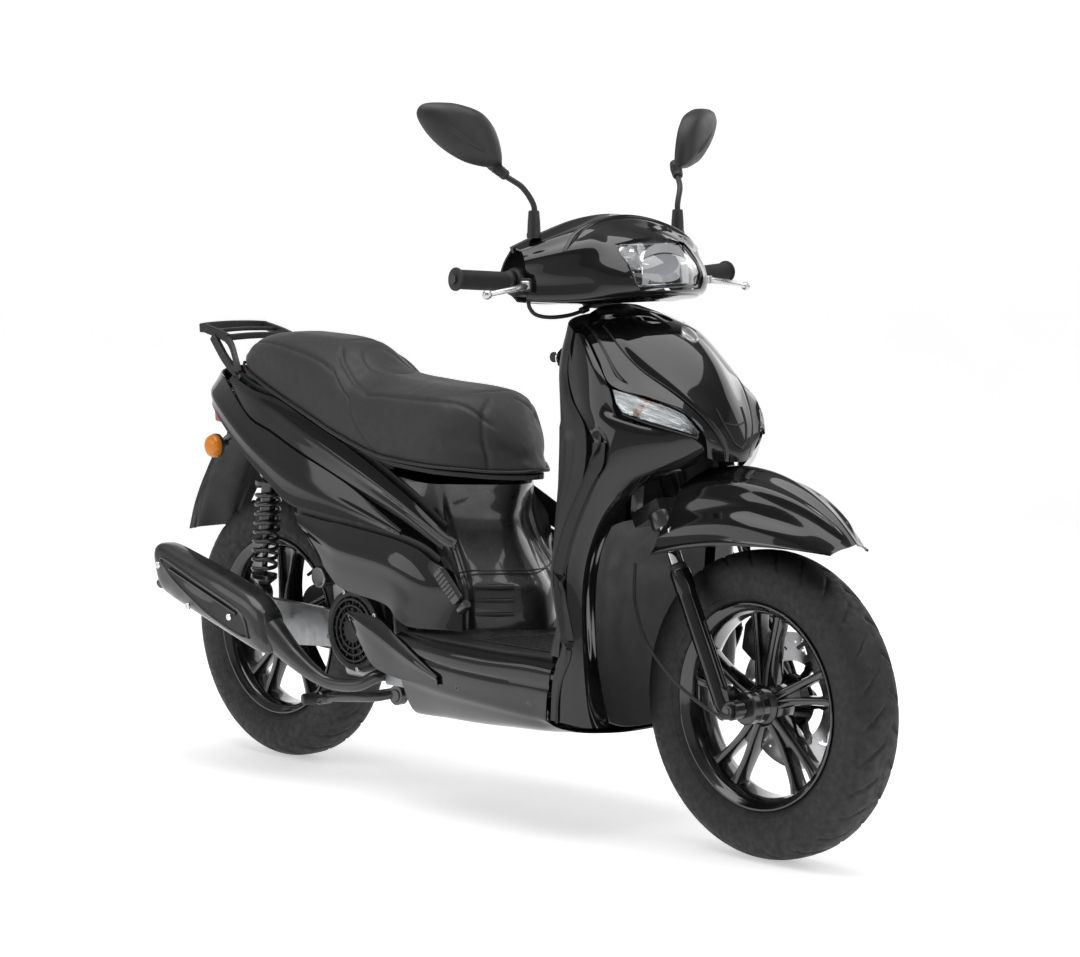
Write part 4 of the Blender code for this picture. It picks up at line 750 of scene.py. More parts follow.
    def inner(u, v):
        t = abs(v - 0.5) * 2
        along = smooth(u, 0.36, 0.40) * (1 - smooth(u, 0.9, 0.94))
        well = -0.004 * smooth(t, 0.50, 0.54) * (1 - smooth(t, 0.80, 0.84)) * along
        box = 0.003 * (1 - smooth(t, 0.40, 0.43)) * smooth(u, 0.30, 0.33) * (1 - smooth(u, 0.55, 0.58))
        return well + box
    add("leg_shield_skin", panel(symmetric(LEG_SHIELD), (0.50, 0, 0.60), 120, 110, 0.003, 0.001, inner),
        "matte",
        "chassis", ("leg_shield_inner",))
    add("front_liner_skin", panel(symmetric(LINER), (0.0, 0, 0.40), 40, 40, 0.003, 0.001), "matte",
        "chassis",
        ("front_liner",))

    def belly(u, v):
        t = abs(v - 0.5) * 2
        return 0.004 * np.exp(-((t - 0.60) / 0.03) ** 2) - 0.003 * np.exp(-((t - 0.74) / 0.012) ** 2)
    add("belly_skin", panel(symmetric(BELLY), (0.1, 0, 0.30), 80, 150, 0.003, 0.001, belly), "gloss",
        "chassis",
        ("belly_pan",))
    add("seat_post_skin", panel(symmetric(SEAT_POST), (-0.15, 0, 0.50), 90, 90, 0.003, 0.001,
                                lambda u, v: 0.003 * np.exp(-((abs(v - 0.5) - 0.30) / 0.02) ** 2)),
        "satin", "chassis", ("seat_post_cover",))

    def cover(u, v):
        ridge = 0.0022 * np.exp(-((v - 0.70 + 0.25 * u) / 0.14) ** 2) * smooth(u, 0.05, 0.3)
        scoop = -0.0025 * smooth(u, 0.55, 0.70) * np.exp(-((v - 0.35) / 0.16) ** 2) * (1 - smooth(u, 0.93,
                1.0))
        return ridge + scoop
    pair("side_cover", panel(SIDE_COVER, (-0.30, 0, 0.60), 120, 50, 0.003, 0.001, cover), "gloss",
         "chassis",
         "side_cover", bevel=0.0008)
    tail = TAIL_WING + [[(p[0], -p[1], p[2]) for p in row] for row in reversed(TAIL_WING[:-1])]
    add("tail_skin", panel(tail, (-0.50, 0, 0.60), 220, 50, 0.003, 0.001,
                           lambda u, v: 0.0025 * np.exp(-((v - 0.45) / 0.16) ** 2)), "gloss", "chassis",
        ("tail_fairing",), bevel=0.0008)
    pair("lower_cover", panel(LOWER_COVER, (-0.25, 0, 0.45), 80, 50, 0.003, 0.001,
                              lambda u, v: 0.003 * np.exp(-((v - 0.62) / 0.12) ** 2) * (1 - smooth(u, 0.7,
                                      0.9))),
         "gloss", "chassis", "lower_cover", bevel=0.0008)
    add("rear_mudguard_skin", panel(symmetric(MUDGUARD), (-0.70, 0, 0.50), 60, 50, 0.003, 0.001,
                                    lambda u, v: -0.002 * np.exp(-((abs(v - 0.5) - 0.33) / 0.03) ** 2)),
        "matte", "chassis", ("rear_mudguard",))


# ---------------------------------------------------------------- cockpit
GRIP_END = Vector((0.229, -0.345, 0.997))
GRIP_ROOT = Vector((0.2442, -0.220, 0.9897))
MIRROR_FOOT = Vector((0.258, -0.179, 1.072))
MIRROR_NECK = Vector((0.212, -0.222, 1.186))


def cut(solid, tools):
    """The solid with closed tools taken out of it."""
    made = []
    for k, (points, faces) in enumerate([solid] + tools):
        mesh = bpy.data.meshes.new("cut_%d" % k)
        mesh.from_pydata([tuple(map(float, p)) for p in points], [], faces)
        work = bmesh.new()
        work.from_mesh(mesh)
        bmesh.ops.recalc_face_normals(work, faces=work.faces)
        work.to_mesh(mesh)
        work.free()
        item = bpy.data.objects.new("cut_%d" % k, mesh)
        bpy.context.scene.collection.objects.link(item)
        made.append(item)
    for tool in made[1:]:
        step = made[0].modifiers.new("cut", "BOOLEAN")
        step.operation = "DIFFERENCE"
        step.solver = "EXACT"
        step.object = tool
    final = made[0].evaluated_get(bpy.context.evaluated_depsgraph_get()).to_mesh()
    out = [tuple(v.co) for v in final.vertices], [tuple(f.vertices) for f in final.polygons]
    made[0].evaluated_get(bpy.context.evaluated_depsgraph_get()).to_mesh_clear()
    for item in made:
        bpy.data.objects.remove(item)
    return out


def cockpit():
    inside = (0.25, 0, 1.0)

    def crest(u, v):
        t = abs(v - 0.5) * 2
        arch = 0.004 * np.exp(-((u - 0.10 - 0.12 * t) / 0.05) ** 2) * (1 - smooth(t, 0.75, 0.95))
        wing = 0.007 * np.exp(-((u - 0.30 - 0.12 * (t - 0.4)) / 0.07) ** 2) * smooth(t, 0.30, 0.45)
        fold = -0.006 * np.exp(-((u - 0.60) / 0.10) ** 2) * smooth(t, 0.42, 0.60)
        line = -0.003 * np.exp(-((u - 0.80) / 0.012) ** 2)
        return arch + wing + fold + line
    opening = [(-0.086, 1.056), (-0.090, 1.030), (-0.088, 0.995), (-0.074, 0.975), (0.074, 0.975),
               (0.088, 0.995),
               (0.090, 1.030), (0.086, 1.056), (0.045, 1.064), (0.0, 1.067), (-0.045, 1.064)]
    cowl = cut(panel(symmetric(COWL_FRONT), inside, 110, 150, 0.003, 0.001, crest),
               [slab([(y, z) for y, z in opening], 0, 0.300, 0.500)])
    add("cowl_front_skin", cowl, "gloss", "steering", ("cowl_front",), sharp=40)
    add("cowl_rear_skin", panel(symmetric(COWL_REAR), inside, 60, 80, 0.003, 0.001,
                                lambda u, v: 0.003 * np.exp(-((u - 0.5) / 0.2) ** 2)),
        "matte", "steering", ("cowl_rear",), sharp=40)
    middle = [tuple((a + b) / 2 for a, b in zip(p, q)) for p, q in
              zip(symmetric(COWL_FRONT)[0], symmetric(COWL_REAR)[0])]
    joint = tube([(x, y, z - 0.004) for x, y, z in middle], 0.0065, 12, 80)
    add("cowl_joint_strip", joint, "trim", "steering")
    crown = line_on(symmetric(COWL_FRONT), inside, [(0.34, 0.16), (0.20, 0.24), (0.11, 0.36), (0.09, 0.5),
                                                    (0.11, 0.64), (0.20, 0.76), (0.34, 0.84)], 0.003, 80)
    add("cowl_crest_band", tube(crown, 0.0055, 12), "gloss", "steering")

    add("headlight_lens", panel(symmetric(HEADLIGHT), inside, 50, 90, 0.0025, 0.0015,
                                lambda u, v: 0.0006 + 0 * u), "clear", "steering", ("headlight",))
    rim = surface(symmetric(HEADLIGHT), 30, 60)
    edge = list(rim[0]) + list(rim[1:, -1]) + list(rim[-1, -2::-1]) + list(rim[-2:0:-1, 0])
    add("headlight_surround", tube(edge[::2], 0.0035, 8, closed=True), "gloss", "steering")

    def bowl(centre, size, depth, rows=26, columns=56, facets=0):
        """Reflector dish that opens to the front."""
        loops = []
        for r in range(rows):
            t = r / (rows - 1)
            reach = t ** 0.55
            loops.append([(centre[0] - depth * (1 - t) + 0.004 * math.cos(facets * a) * t * t,
                           centre[1] + size[0] * reach * math.copysign(abs(math.cos(a)) ** 0.75,
                                   math.cos(a)),
                           centre[2] + size[1] * reach * math.copysign(abs(math.sin(a)) ** 0.75,
                                   math.sin(a)))
                          for a in (2 * math.pi * k / columns for k in range(columns))])
        return loft(loops)
    back = [(0.318, y, z) for y, z in ((-0.082, 1.052), (-0.084, 0.985), (0.084, 0.985), (0.082, 1.052))]
    add("headlight_dish", bowl((0.398, 0.0, 1.022), (0.052, 0.034), 0.062), "chrome", "steering", sharp=60)
    for side in (-1, 1):
        name = SIDE[side]
        add("headlight_side_dish_" + name, bowl((0.368, side * 0.063, 1.026), (0.024, 0.026), 0.036,
                                                facets=8),
            "chrome", "steering", sharp=60)
        fin = bar([(0.375, side * 0.044, 1.052), (0.402, side * 0.048, 1.020),
                   (0.405, side * 0.050, 0.985)],
                  0.002, 0.016, 12, (0, 1, 0))
        add("headlight_fin_" + name, fin, "chrome", "steering")
        lamp = turned([(0.0, 0.010), (0.003, 0.0095), (0.005, 0.006), (0.005, -0.008), (0.0, -0.008)],
                      (0.362, side * 0.063, 1.026), (1, 0, 0), 24)
        add("headlight_side_bulb_" + name, lamp, "clear", "steering")
    shelf = loft([[(0.335, -0.080, z), (0.335, 0.080, z), (0.392, 0.074, z), (0.414, 0.0, z),
                   (0.392, -0.074, z)]
                  for z in (0.982, 0.985)])
    add("headlight_tray", shelf, "chrome", "steering", bevel=0.001)
    brow = loft([[(0.335, -0.078, z), (0.335, 0.078, z), (0.362, 0.070, z), (0.376, 0.0, z),
                  (0.362, -0.070, z)]
                 for z in (1.052, 1.055)])
    add("headlight_brow", brow, "chrome", "steering", bevel=0.001)
    add("headlight_back", loft([back, [(x - 0.004, y, z) for x, y, z in back]]), "chrome", "steering")
    cap = turned([(0.0, 0.034), (0.005, 0.0335), (0.0085, 0.031), (0.0095, 0.026), (0.0095, 0.010),
                  (0.0075, 0.008),
                  (0.0075, -0.020), (0.0, -0.020)], (0.368, 0, 1.022), (1, 0, 0), 40)
    add("headlight_bulb_shield", cap, "silver", "steering")

    along = (GRIP_END - GRIP_ROOT).normalized()
    profile = [(0.0112, 0.004), (0.0190, 0.004), (0.0195, 0.006), (0.0195, 0.009), (0.0172, 0.011)]
    for k in range(44):
        at = 0.013 + k * 0.0023
        profile += [(0.0164, at), (0.0172, at + 0.0006), (0.0172, at + 0.0014), (0.0164, at + 0.002)]
    profile += [(0.0172, 0.1145), (0.0204, 0.116), (0.0207, 0.1185), (0.0200, 0.1205), (0.0150, 0.1215),
                (0.0, 0.1217)]
    right = turned([(r, a) for r, a in profile] + [(0.0, 0.004)], GRIP_ROOT, along, 48)
    add("throttle_grip_rubber", right, "grip", "throttle", ("throttle_grip",))
    add("left_grip_rubber", mirrored(right), "grip", "steering", ("left_grip",))
    for side, sign in (("right", 1), ("left", -1)):
        pod = [(0.020, -0.004), (0.0245, -0.002), (0.0258, 0.010), (0.0258, 0.030), (0.0235, 0.036),
               (0.0180, 0.037)]
        sleeve = turned([(0.0112, -0.004)] + pod + [(0.0112, 0.037)], GRIP_ROOT - along * 0.036, along, 40)
        add("switch_pod_" + side, sleeve if sign == 1 else mirrored(sleeve), "matte", "steering")

    blade = [(0.287, -0.226, 0.985), (0.296, -0.240, 0.983), (0.304, -0.265, 0.980), (0.303, -0.295, 0.976),
             (0.295, -0.322, 0.971)]
    ball = turned([(0.0, -0.0086), (0.0035, -0.0080), (0.0066, -0.0056), (0.0083, -0.002), (0.0083, 0.002),
                   (0.0066, 0.0056), (0.0035, 0.0080), (0.0, 0.0086)], blade[-1],
                  Vector(blade[-1]) - Vector(blade[-2]), 28)
    boss = turned([(0.0, -0.0075), (0.009, -0.0075), (0.0102, -0.006), (0.0102, 0.006), (0.009, 0.0075),
                   (0.0, 0.0075)], blade[0], (0, 0, 1), 28)
    arm = tube(blade, [0.0080, 0.0066, 0.0055, 0.0050, 0.0048], 20, 40, flat=0.8)
    lever = join([arm, ball, boss])
    add("brake_lever_right_cast", lever, "silver", "lever_right", ("brake_lever_right",))
    add("brake_lever_left_cast", mirrored(lever), "silver", "lever_left", ("brake_lever_left",))
    perch = bar([(0.262, -0.205, 0.986), (0.276, -0.214, 0.985), (0.288, -0.226, 0.985)], 0.020, 0.024, 8)
    for side, solid in (("right", perch), ("left", mirrored(perch))):
        add("lever_perch_" + side, solid, "trim", "steering", bevel=0.003, segments=3)
    hose = [(0.264, -0.196, 0.972), (0.262, -0.196, 0.958), (0.263, -0.193, 0.943), (0.267, -0.180, 0.931),
            (0.273, -0.150, 0.9265), (0.276, -0.105, 0.930), (0.274, -0.066, 0.940), (0.270, -0.044, 0.952),
            (0.268, -0.034, 0.964)]
    add("brake_hose", tube(hose, 0.0036, 14, 70), "grip", "steering")
    add("brake_hose_clip", bar([(0.2755, -0.082, 0.9355), (0.274, -0.064, 0.9405)], 0.011, 0.011, 4),
        "matte",
        "steering", bevel=0.002)
    shroud = [[head_at(z, ahead, side) for ahead, side in ring] for z, ring in (
        (0.950, ((-0.028, -0.040), (0.020, -0.044), (0.034, 0.0), (0.020, 0.044), (-0.028, 0.040),
                 (-0.036, 0.0))),
        (0.962, ((-0.030, -0.046), (0.030, -0.056), (0.056, 0.0), (0.030, 0.056), (-0.030, 0.046),
                 (-0.038, 0.0))))]
    add("column_shroud", loft(shroud), "trim", "steering", bevel=0.006, segments=3)

    gauge = loft([[(x, y, z) for x, y, z in ((0.196 + i * 0.5, -0.075, 1.040 - i * 0.1),
                                             (0.246, -0.070, 1.080 - i),
                                            (0.246, 0.070, 1.080 - i), (0.196 + i * 0.5, 0.075,
                                                    1.040 - i * 0.1))]
                  for i in (0.0, -0.004)])
    add("instrument_glass", gauge, "mirror", "steering", bevel=0.002)

    for side, sign in (("right", 1), ("left", -1)):
        flip = (lambda s: s) if sign == 1 else mirrored
        arm_path = [MIRROR_FOOT, (0.258, -0.179, 1.098), (0.2575, -0.1795, 1.124), (0.247, -0.196, 1.154),
                    (0.226, -0.212, 1.172), MIRROR_NECK]
        stem = tube(arm_path, 0.0052, 18, 60)
        boot = turned([(0.0, -0.006), (0.0125, -0.006), (0.0132, 0.0), (0.0118, 0.004), (0.0112, 0.022),
                       (0.0098, 0.040),
                       (0.0090, 0.042), (0.0060, 0.0425), (0.0, 0.0425)], MIRROR_FOOT, (0, 0, 1), 32)
        run = (MIRROR_NECK - Vector((0.236, -0.206, 1.164))).normalized()
        ribs = [(0.0, 0.0), (0.0078, 0.0), (0.0095, 0.003)]
        for k in range(6):
            ribs += [(0.0100 + k * 0.0002, 0.005 + k * 0.004), (0.0088 + k * 0.0002, 0.007 + k * 0.004)]
        ribs += [(0.0105, 0.032), (0.0095, 0.040), (0.0, 0.040)]
        collar = turned(ribs, MIRROR_NECK - run * 0.020, run, 32)
        add("mirror_arm_%s_stem" % side, flip(join([stem, boot])), "matte", "mirror_stalk_" + side,
            ("mirror_arm_" + side,))
        centre = Vector((0.191, -0.291, 1.245))
        outward = Vector((-0.029, -0.074, 0.0))
        facing = Vector((0.074, -0.029, 0.0)).normalized()
        outline = [(-0.96, 1.192), (-0.80, 1.189), (-0.55, 1.190), (-0.10, 1.199), (0.36, 1.219),
                   (0.70, 1.242),
                   (0.92, 1.265), (1.00, 1.282), (0.94, 1.294), (0.78, 1.3005), (0.40, 1.3015),
                   (0.05, 1.299),
                   (-0.42, 1.287), (-0.70, 1.267), (-0.86, 1.243), (-0.95, 1.214)]
        ring = curve_through(outline + outline[:1], 65)[:-1]

        def leaf(scale, depth, lift=0.0):
            return [centre + outward * t * scale + Vector((0, 0,
                    (z - centre[2]) * scale + lift)) + facing * depth
                    for t, z in ring]
        head = loft([leaf(0.90, -0.0062), leaf(0.90, -0.0085), leaf(0.975, -0.0088), leaf(0.995, -0.006),
                     leaf(1.0, 0.0), leaf(0.985, 0.006), leaf(0.90, 0.014, 0.001),
                     leaf(0.74, 0.0205, 0.004),
                     leaf(0.52, 0.0245, 0.007), leaf(0.25, 0.0265, 0.009)])
        add("mirror_head_%s_shell" % side, flip(head), "matte", "mirror_" + side, ("mirror_head_" + side,),
            sharp=50)
        crease = [(0.96, 1.288), (0.55, 1.268), (0.10, 1.243), (-0.35, 1.222), (-0.80, 1.205)]
        top = [centre + outward * t * 0.92 + Vector((0, 0, (z - centre[2]) * 0.92)) + facing * d
               for (t, z), d in zip(crease, (0.010, 0.0195, 0.0235, 0.0225, 0.012))]
        add("mirror_head_%s_crease" % side, flip(tube(top, [0.002, 0.0042, 0.0052, 0.0048, 0.003], 12,
                40)), "matte",
            "mirror_" + side)
        glass = loft([leaf(0.895, -0.0070), leaf(0.895, -0.0066)])
        add("mirror_glass_" + side, flip(glass), "mirror", "mirror_" + side)
        add("mirror_neck_" + side, flip(collar), "matte", "mirror_" + side)


def head_at(z, ahead=0.0, side=0.0):
    x = 0.275 + (0.930 - z) * math.tan(RAKE)
    return (x + ahead * math.cos(RAKE), side, z + ahead * math.sin(RAKE))


# ---------------------------------------------------------------- wheels and front end
def tyre(name, centre, body, node):
    """Tyre with curved sipes pressed into its tread."""
    half = [(0.000, 0.2680), (0.010, 0.2677), (0.020, 0.2666), (0.030, 0.2630), (0.039, 0.2565),
            (0.0455, 0.2480),
            (0.0500, 0.2380), (0.0525, 0.2260), (0.0522, 0.2140), (0.0500, 0.2020), (0.0465, 0.1920),
            (0.0455, 0.1905), (0.0450, 0.1890), (0.0410, 0.1840), (0.0370, 0.1790)]
    fine = curve_through(half, 64)
    outer = [(-y, r) for y, r in fine[::-1]] + [(y, r) for y, r in fine[1:]]
    inner = [(0.031, 0.179), (0.043, 0.200), (0.046, 0.226), (0.036, 0.248), (0.0, 0.256), (-0.036, 0.248),
             (-0.046, 0.226), (-0.043, 0.200), (-0.031, 0.179)]
    sides = 432
    loops = []
    pitches = 27
    for y, r in outer + inner:
        loop = []
        for k in range(sides):
            a = 2 * math.pi * k / sides
            depth = 0.0
            if r > 0.236 and (y, r) not in inner:
                t = abs(y) / 0.050
                phase = (a * pitches / (2 * math.pi) + 0.85 * t ** 1.5 + (0.5 if y > 0 else 0.0)) % 1.0
                width = 0.085 * (1 - 0.45 * t)
                if 0.10 < t < 0.97:
                    ends = min(1.0, (t - 0.10) * 12, (0.97 - t) * 12)
                    depth += 0.0034 * max(0.0, 1 - (abs(phase - 0.5) / width) ** 2) * ends
                phase = (a * pitches / (2 * math.pi) + 0.35 * t + 0.22 + (0.5 if y > 0 else 0.0)) % 1.0
                if 0.52 < t < 0.80:
                    depth += 0.0026 * max(0.0, 1 - (abs(phase - 0.5) / 0.05) ** 2)
            loop.append((centre.x + (r - depth) * math.cos(a), centre.y + y,
                         centre.z + (r - depth) * math.sin(a)))
        loops.append(loop)
    rubber = add(name, loft(loops, closed=True), "tyre", body, (node,), sharp=50)
    for side in (-1, 1):
        bead = [(0.1915, side * 0.0462), (0.1925, side * 0.0474), (0.1940, side * 0.0474),
                (0.1950, side * 0.0466)]
        if side < 0:
            bead = bead[::-1]
        add("%s_bead_line_%s" % (name, SIDE[side]), turned(bead, centre, (0, 1, 0), 120, ring=True),
            "tyre", body)
    return rubber


def rim(name, centre, body, node, hub_low, hub_high):
    """Cast wheel: barrel with stepped lips, five twin spokes that part from a fan at the hub."""
    side = [(0.1785, 0.0395), (0.1800, 0.0412), (0.1795, 0.0430), (0.1765, 0.0430), (0.1740, 0.0405),
            (0.1700, 0.0360), (0.1655, 0.0330), (0.1640, 0.0290), (0.1600, 0.0230), (0.1585, 0.0150)]
    outer = [(0.1782, 0.0310), (0.1660, 0.0220)]
    barrel = [(r, -y) for r, y in side] + [(r, y) for r, y in reversed(side)] + outer
    barrel += [(r, -y) for r, y in reversed(outer)]
    parts = [turned(barrel, centre, (0, 1, 0), 144, ring=True)]
    hub = [(0.009, hub_low), (0.026, hub_low), (0.028, hub_low + 0.002), (0.029, -0.030), (0.036, -0.024),
           (0.0375, -0.020), (0.0375, 0.020), (0.036, 0.024), (0.031, 0.032), (0.030, hub_high),
           (0.009, hub_high)]
    parts.append(turned(hub, centre, (0, 1, 0), 72, ring=True))
    for number in range(5):
        angle = 2 * math.pi * number / 5 + math.radians(90)
        out = Vector((math.cos(angle), 0, math.sin(angle)))
        across = Vector((-math.sin(angle), 0, math.cos(angle)))
        for way in (-1, 1):
            loops = []
            stations = ((0.026, 0.006, 0.0095, 0.024), (0.045, 0.008, 0.0090, 0.022),
                        (0.068, 0.0105, 0.0082, 0.0195),
                        (0.090, 0.0145, 0.0075, 0.0170), (0.115, 0.0190, 0.0072, 0.0155),
                        (0.140, 0.0235, 0.0080, 0.0160), (0.152, 0.0260, 0.0095, 0.0175),
                        (0.162, 0.0285, 0.0120, 0.019))
            for reach, offset, half, thick in curve_through(stations, 22):
                middle = centre + out * reach + across * (offset * way + 0.004 * math.sin(reach * 20))
                loops.append([middle + across * a * half + Vector((0, b * thick, 0)) for a, b in
                              ((-1, -0.62), (-0.72, -0.94), (-0.3, -1), (0.3, -1), (0.72, -0.94),
                               (1, -0.62), (1, 0.62),
                               (0.72, 0.94), (0.3, 1), (-0.3, 1), (-0.72, 0.94), (-1, 0.62))])
            parts.append(loft(loops))
        web = []
        for reach, half, thick in ((0.028, 0.012, 0.018), (0.060, 0.012, 0.015), (0.084, 0.010, 0.010)):
            middle = centre + out * reach + across * 0.004 * math.sin(reach * 20)
            web.append([middle + across * a * half + Vector((0, b * thick, 0))
                        for a, b in ((-1, -1), (1, -1), (1, 1), (-1, 1))])
        parts.append(loft(web))
    add(name, join(parts), "alloy_black", body, (node,), bevel=0.0012, sharp=38)
    for number in range(5):
        angle = 2 * math.pi * (number + 0.5) / 5 + math.radians(90)
        place = centre + Vector((math.cos(angle), 0, math.sin(angle))) * 0.023
        low = min(-0.032, hub_low)
        screw("%s_bolt_%d" % (name, number), place + Vector((0, low, 0)), (0, -1, 0), body, 0.0036, "alloy")
    stem = [(0.0, 0.0), (0.0042, 0.0), (0.0042, 0.012), (0.0034, 0.014), (0.0034, 0.024), (0.0, 0.025)]
    spot = centre + Vector((math.cos(0.9), 0, math.sin(0.9))) * 0.158
    add(name + "_valve", turned(stem, spot + Vector((0, -0.012, 0)), (-0.45, -0.6, -0.55), 18), "grip",
        body)


def leg_at(z, side=0.0):
    return (0.650 + (0.250 - z) * math.tan(RAKE), side, z)


def front_end():
    tyre("front_tyre_tread", FRONT, "front_wheel", "front_tyre")
    rim("front_rim_cast", FRONT, "front_wheel", "front_rim", -0.046, 0.0572)
    rotor = turned([(0.070, 0.0582), (0.1198, 0.0582), (0.1198, 0.0618), (0.070, 0.0618)], (0, 0, 0),
                   (0, 1, 0), 120,
                   ring=True)
    tools = []
    for k in range(12):
        a = 2 * math.pi * k / 12
        path = []
        for r, turn in ((0.0775, 0.0), (0.083, 0.035)):
            path.append((r * math.cos(a + turn), 0.0, r * math.sin(a + turn)))
        b = a + math.radians(11)
        arc = [(0.088, 0.0), (0.0945, 0.06), (0.101, 0.12), (0.107, 0.17)]
        centre_line = [Vector((r * math.cos(b + t), 0.06, r * math.sin(b + t))) for r, t in arc]
        tools.append(tube(centre_line, 0.0036, 8))
        for r, t in ((0.092, 0.30), (0.103, -0.03), (0.112, 0.33)):
            tools.append(turned([(0.0, 0.05), (0.0026, 0.05), (0.0026, 0.07), (0.0, 0.07)],
                                (r * math.cos(a + t), 0, r * math.sin(a + t)), (0, 1, 0), 10))
    rotor = cut(rotor, tools)
    rotor = [(p[0] + FRONT.x, p[1], p[2] + FRONT.z) for p in rotor[0]], rotor[1]
    add("brake_disc_slotted", rotor, "disc", "front_wheel", ("brake_disc",), sharp=30)
    carrier = [turned([(0.020, 0.0575), (0.046, 0.0575), (0.048, 0.0600), (0.046, 0.0625),
                       (0.020, 0.0625)], FRONT,
                      (0, 1, 0), 72, ring=True)]
    for k in range(6):
        a = 2 * math.pi * k / 6
        out = Vector((math.cos(a), 0, math.sin(a)))
        across = Vector((-out.z, 0, out.x))
        loops = []
        for r, w in ((0.040, 0.012), (0.060, 0.007), (0.076, 0.010)):
            loops.append([FRONT + out * r + across * s * w + Vector((0, h, 0))
                          for s, h in ((-1, 0.0575), (1, 0.0575), (1, 0.0622), (-1, 0.0622))])
        carrier.append(loft(loops))
        knob = FRONT + out * 0.0765
        carrier.append(turned([(0.0, 0.0570), (0.006, 0.0570), (0.0065, 0.0580), (0.0065, 0.0622),
                               (0.006, 0.0632),
                               (0.0, 0.0632)], knob, (0, 1, 0), 20))
    add("brake_disc_carrier", join(carrier), "alloy_black", "front_wheel", bevel=0.0006)

    parts = []
    for side in (-0.088, 0.088):
        foot, top = Vector(leg_at(0.262, side)), Vector(leg_at(0.495, side))
        up = (top - foot).normalized()
        reach = (top - foot).length
        profile = [(0.0, -0.012), (0.012, -0.012), (0.0172, -0.006), (0.0180, 0.010), (0.0165, 0.030),
                   (0.0168, 0.070),
                   (0.0170, reach - 0.050), (0.0170, reach - 0.040), (0.0182, reach - 0.036),
                   (0.0184, reach - 0.006),
                   (0.0178, reach), (0.0128, reach + 0.001)]
        parts.append(turned(profile, foot, up, 48))
        boss = turned([(0.0, -0.014), (0.0155, -0.014), (0.0170, -0.012), (0.0170, 0.012), (0.0155, 0.014),
                       (0.0, 0.014)], (FRONT.x, side, FRONT.z), (0, 1, 0), 40)
        web = slab([(0.640, 0.250), (0.668, 0.252), (0.655, 0.300), (0.625, 0.310)], 1, side - 0.009,
                   side + 0.009)
        parts += [boss, web]
        rib = loft([[foot + up * s + AHEAD * a + Vector((0, b, 0)) for a, b in
                     ((0.010, -0.003), (0.021, -0.002), (0.021, 0.002), (0.010, 0.003))] for s in (0.02,
                             0.16)])
        parts.append(rib)
    add("fork_lower_cast", join(parts), "gloss", "fork", ("fork_lower",), bevel=0.0008)
    for side, name in ((-1, "right"), (1, "left")):
        spindle = turned([(0.0, 0.0), (0.0065, 0.0), (0.0068, 0.0015), (0.0105, 0.0015), (0.0112, 0.003),
                          (0.0112, 0.009), (0.0, 0.009)], (FRONT.x, side * 0.111, FRONT.z), (0, -side, 0),
                          6 * 6)
        add("axle_nut_" + name, spindle, "satin", "fork")
        lower, upper = Vector(leg_at(0.480, side * 0.088)), Vector(leg_at(0.600, side * 0.088))
        seal = turned([(0.0124, 0.0), (0.0158, 0.0), (0.0162, 0.006), (0.0140, 0.010), (0.0124, 0.010)],
                      Vector(leg_at(0.497, side * 0.088)), upper - lower, 40, ring=True)
        add("fork_seal_" + name, seal, "grip", "fork")
        tubeway = tube([lower, upper], 0.0122, 40)
        add("fork_tube_" + name, tubeway, "chrome", "steering")
        clamp = turned([(0.0123, 0.0), (0.0215, 0.0), (0.0225, 0.003), (0.0225, 0.028), (0.0210, 0.031),
                        (0.0123, 0.031)], Vector(leg_at(0.566, side * 0.088)), upper - lower, 48, ring=True)
        add("fork_clamp_" + name, clamp, "satin", "steering")
    screw("fork_clamp_bolt", (leg_at(0.566)[0] + 0.030, -0.102, 0.566), (0.8, -0.6, 0.2), "steering",
          0.0075, "chrome")
    spacer = turned([(0.0085, 0.0468), (0.0165, 0.0468), (0.0165, 0.0745), (0.0085, 0.0745)],
                    FRONT, (0, -1, 0), 36, ring=True)
    add("axle_spacer", spacer, "satin", "fork")
    drive = turned([(0.0085, 0.047), (0.0270, 0.047), (0.0290, 0.050), (0.0290, 0.064), (0.0260, 0.068),
                    (0.0085, 0.069)], FRONT, (0, -1, 0), 48, ring=True)
    add("speedo_drive", drive, "satin", "fork")

    body = [(0.552, 0.348), (0.560, 0.392), (0.572, 0.406), (0.596, 0.406), (0.616, 0.386), (0.620, 0.366),
            (0.606, 0.336), (0.580, 0.328)]
    add("brake_caliper", join([slab(body, 1, 0.0645, 0.090), slab(body, 1, 0.044, 0.0555)]), "satin",
        "fork",
        bevel=0.004, segments=3)
    for k, (x, z) in enumerate(((0.574, 0.386), (0.594, 0.356))):
        piston = turned([(0.0, 0.096), (0.008, 0.096), (0.011, 0.094), (0.0115, 0.088), (0.0, 0.088)],
                        (x, 0, z),
                        (0, 1, 0), 36)
        add("caliper_piston_%d" % k, piston, "satin", "fork")
    line = [(0.575, 0.086, 0.400), (0.560, 0.106, 0.425), (0.535, 0.113, 0.470), (0.505, 0.110, 0.520),
            (0.484, 0.104, 0.555)]
    add("brake_line", tube(line, 0.0036, 14, 60), "grip", "fork")
    route = [(0.672, -0.106, 0.262), (0.640, -0.112, 0.262), (0.560, -0.116, 0.300), (0.480, -0.112, 0.360),
             (0.438, -0.104, 0.430), (0.432, -0.098, 0.500)]
    cable = tube(route, 0.0030, 16, 90)
    ferrule = tube([(0.676, -0.1055, 0.2615), (0.650, -0.1100, 0.2618)], [0.0055, 0.0042], 20, 6)
    add("speedo_cable_sheath", join([cable, ferrule]), "grip", "fork", ("speedo_cable",))

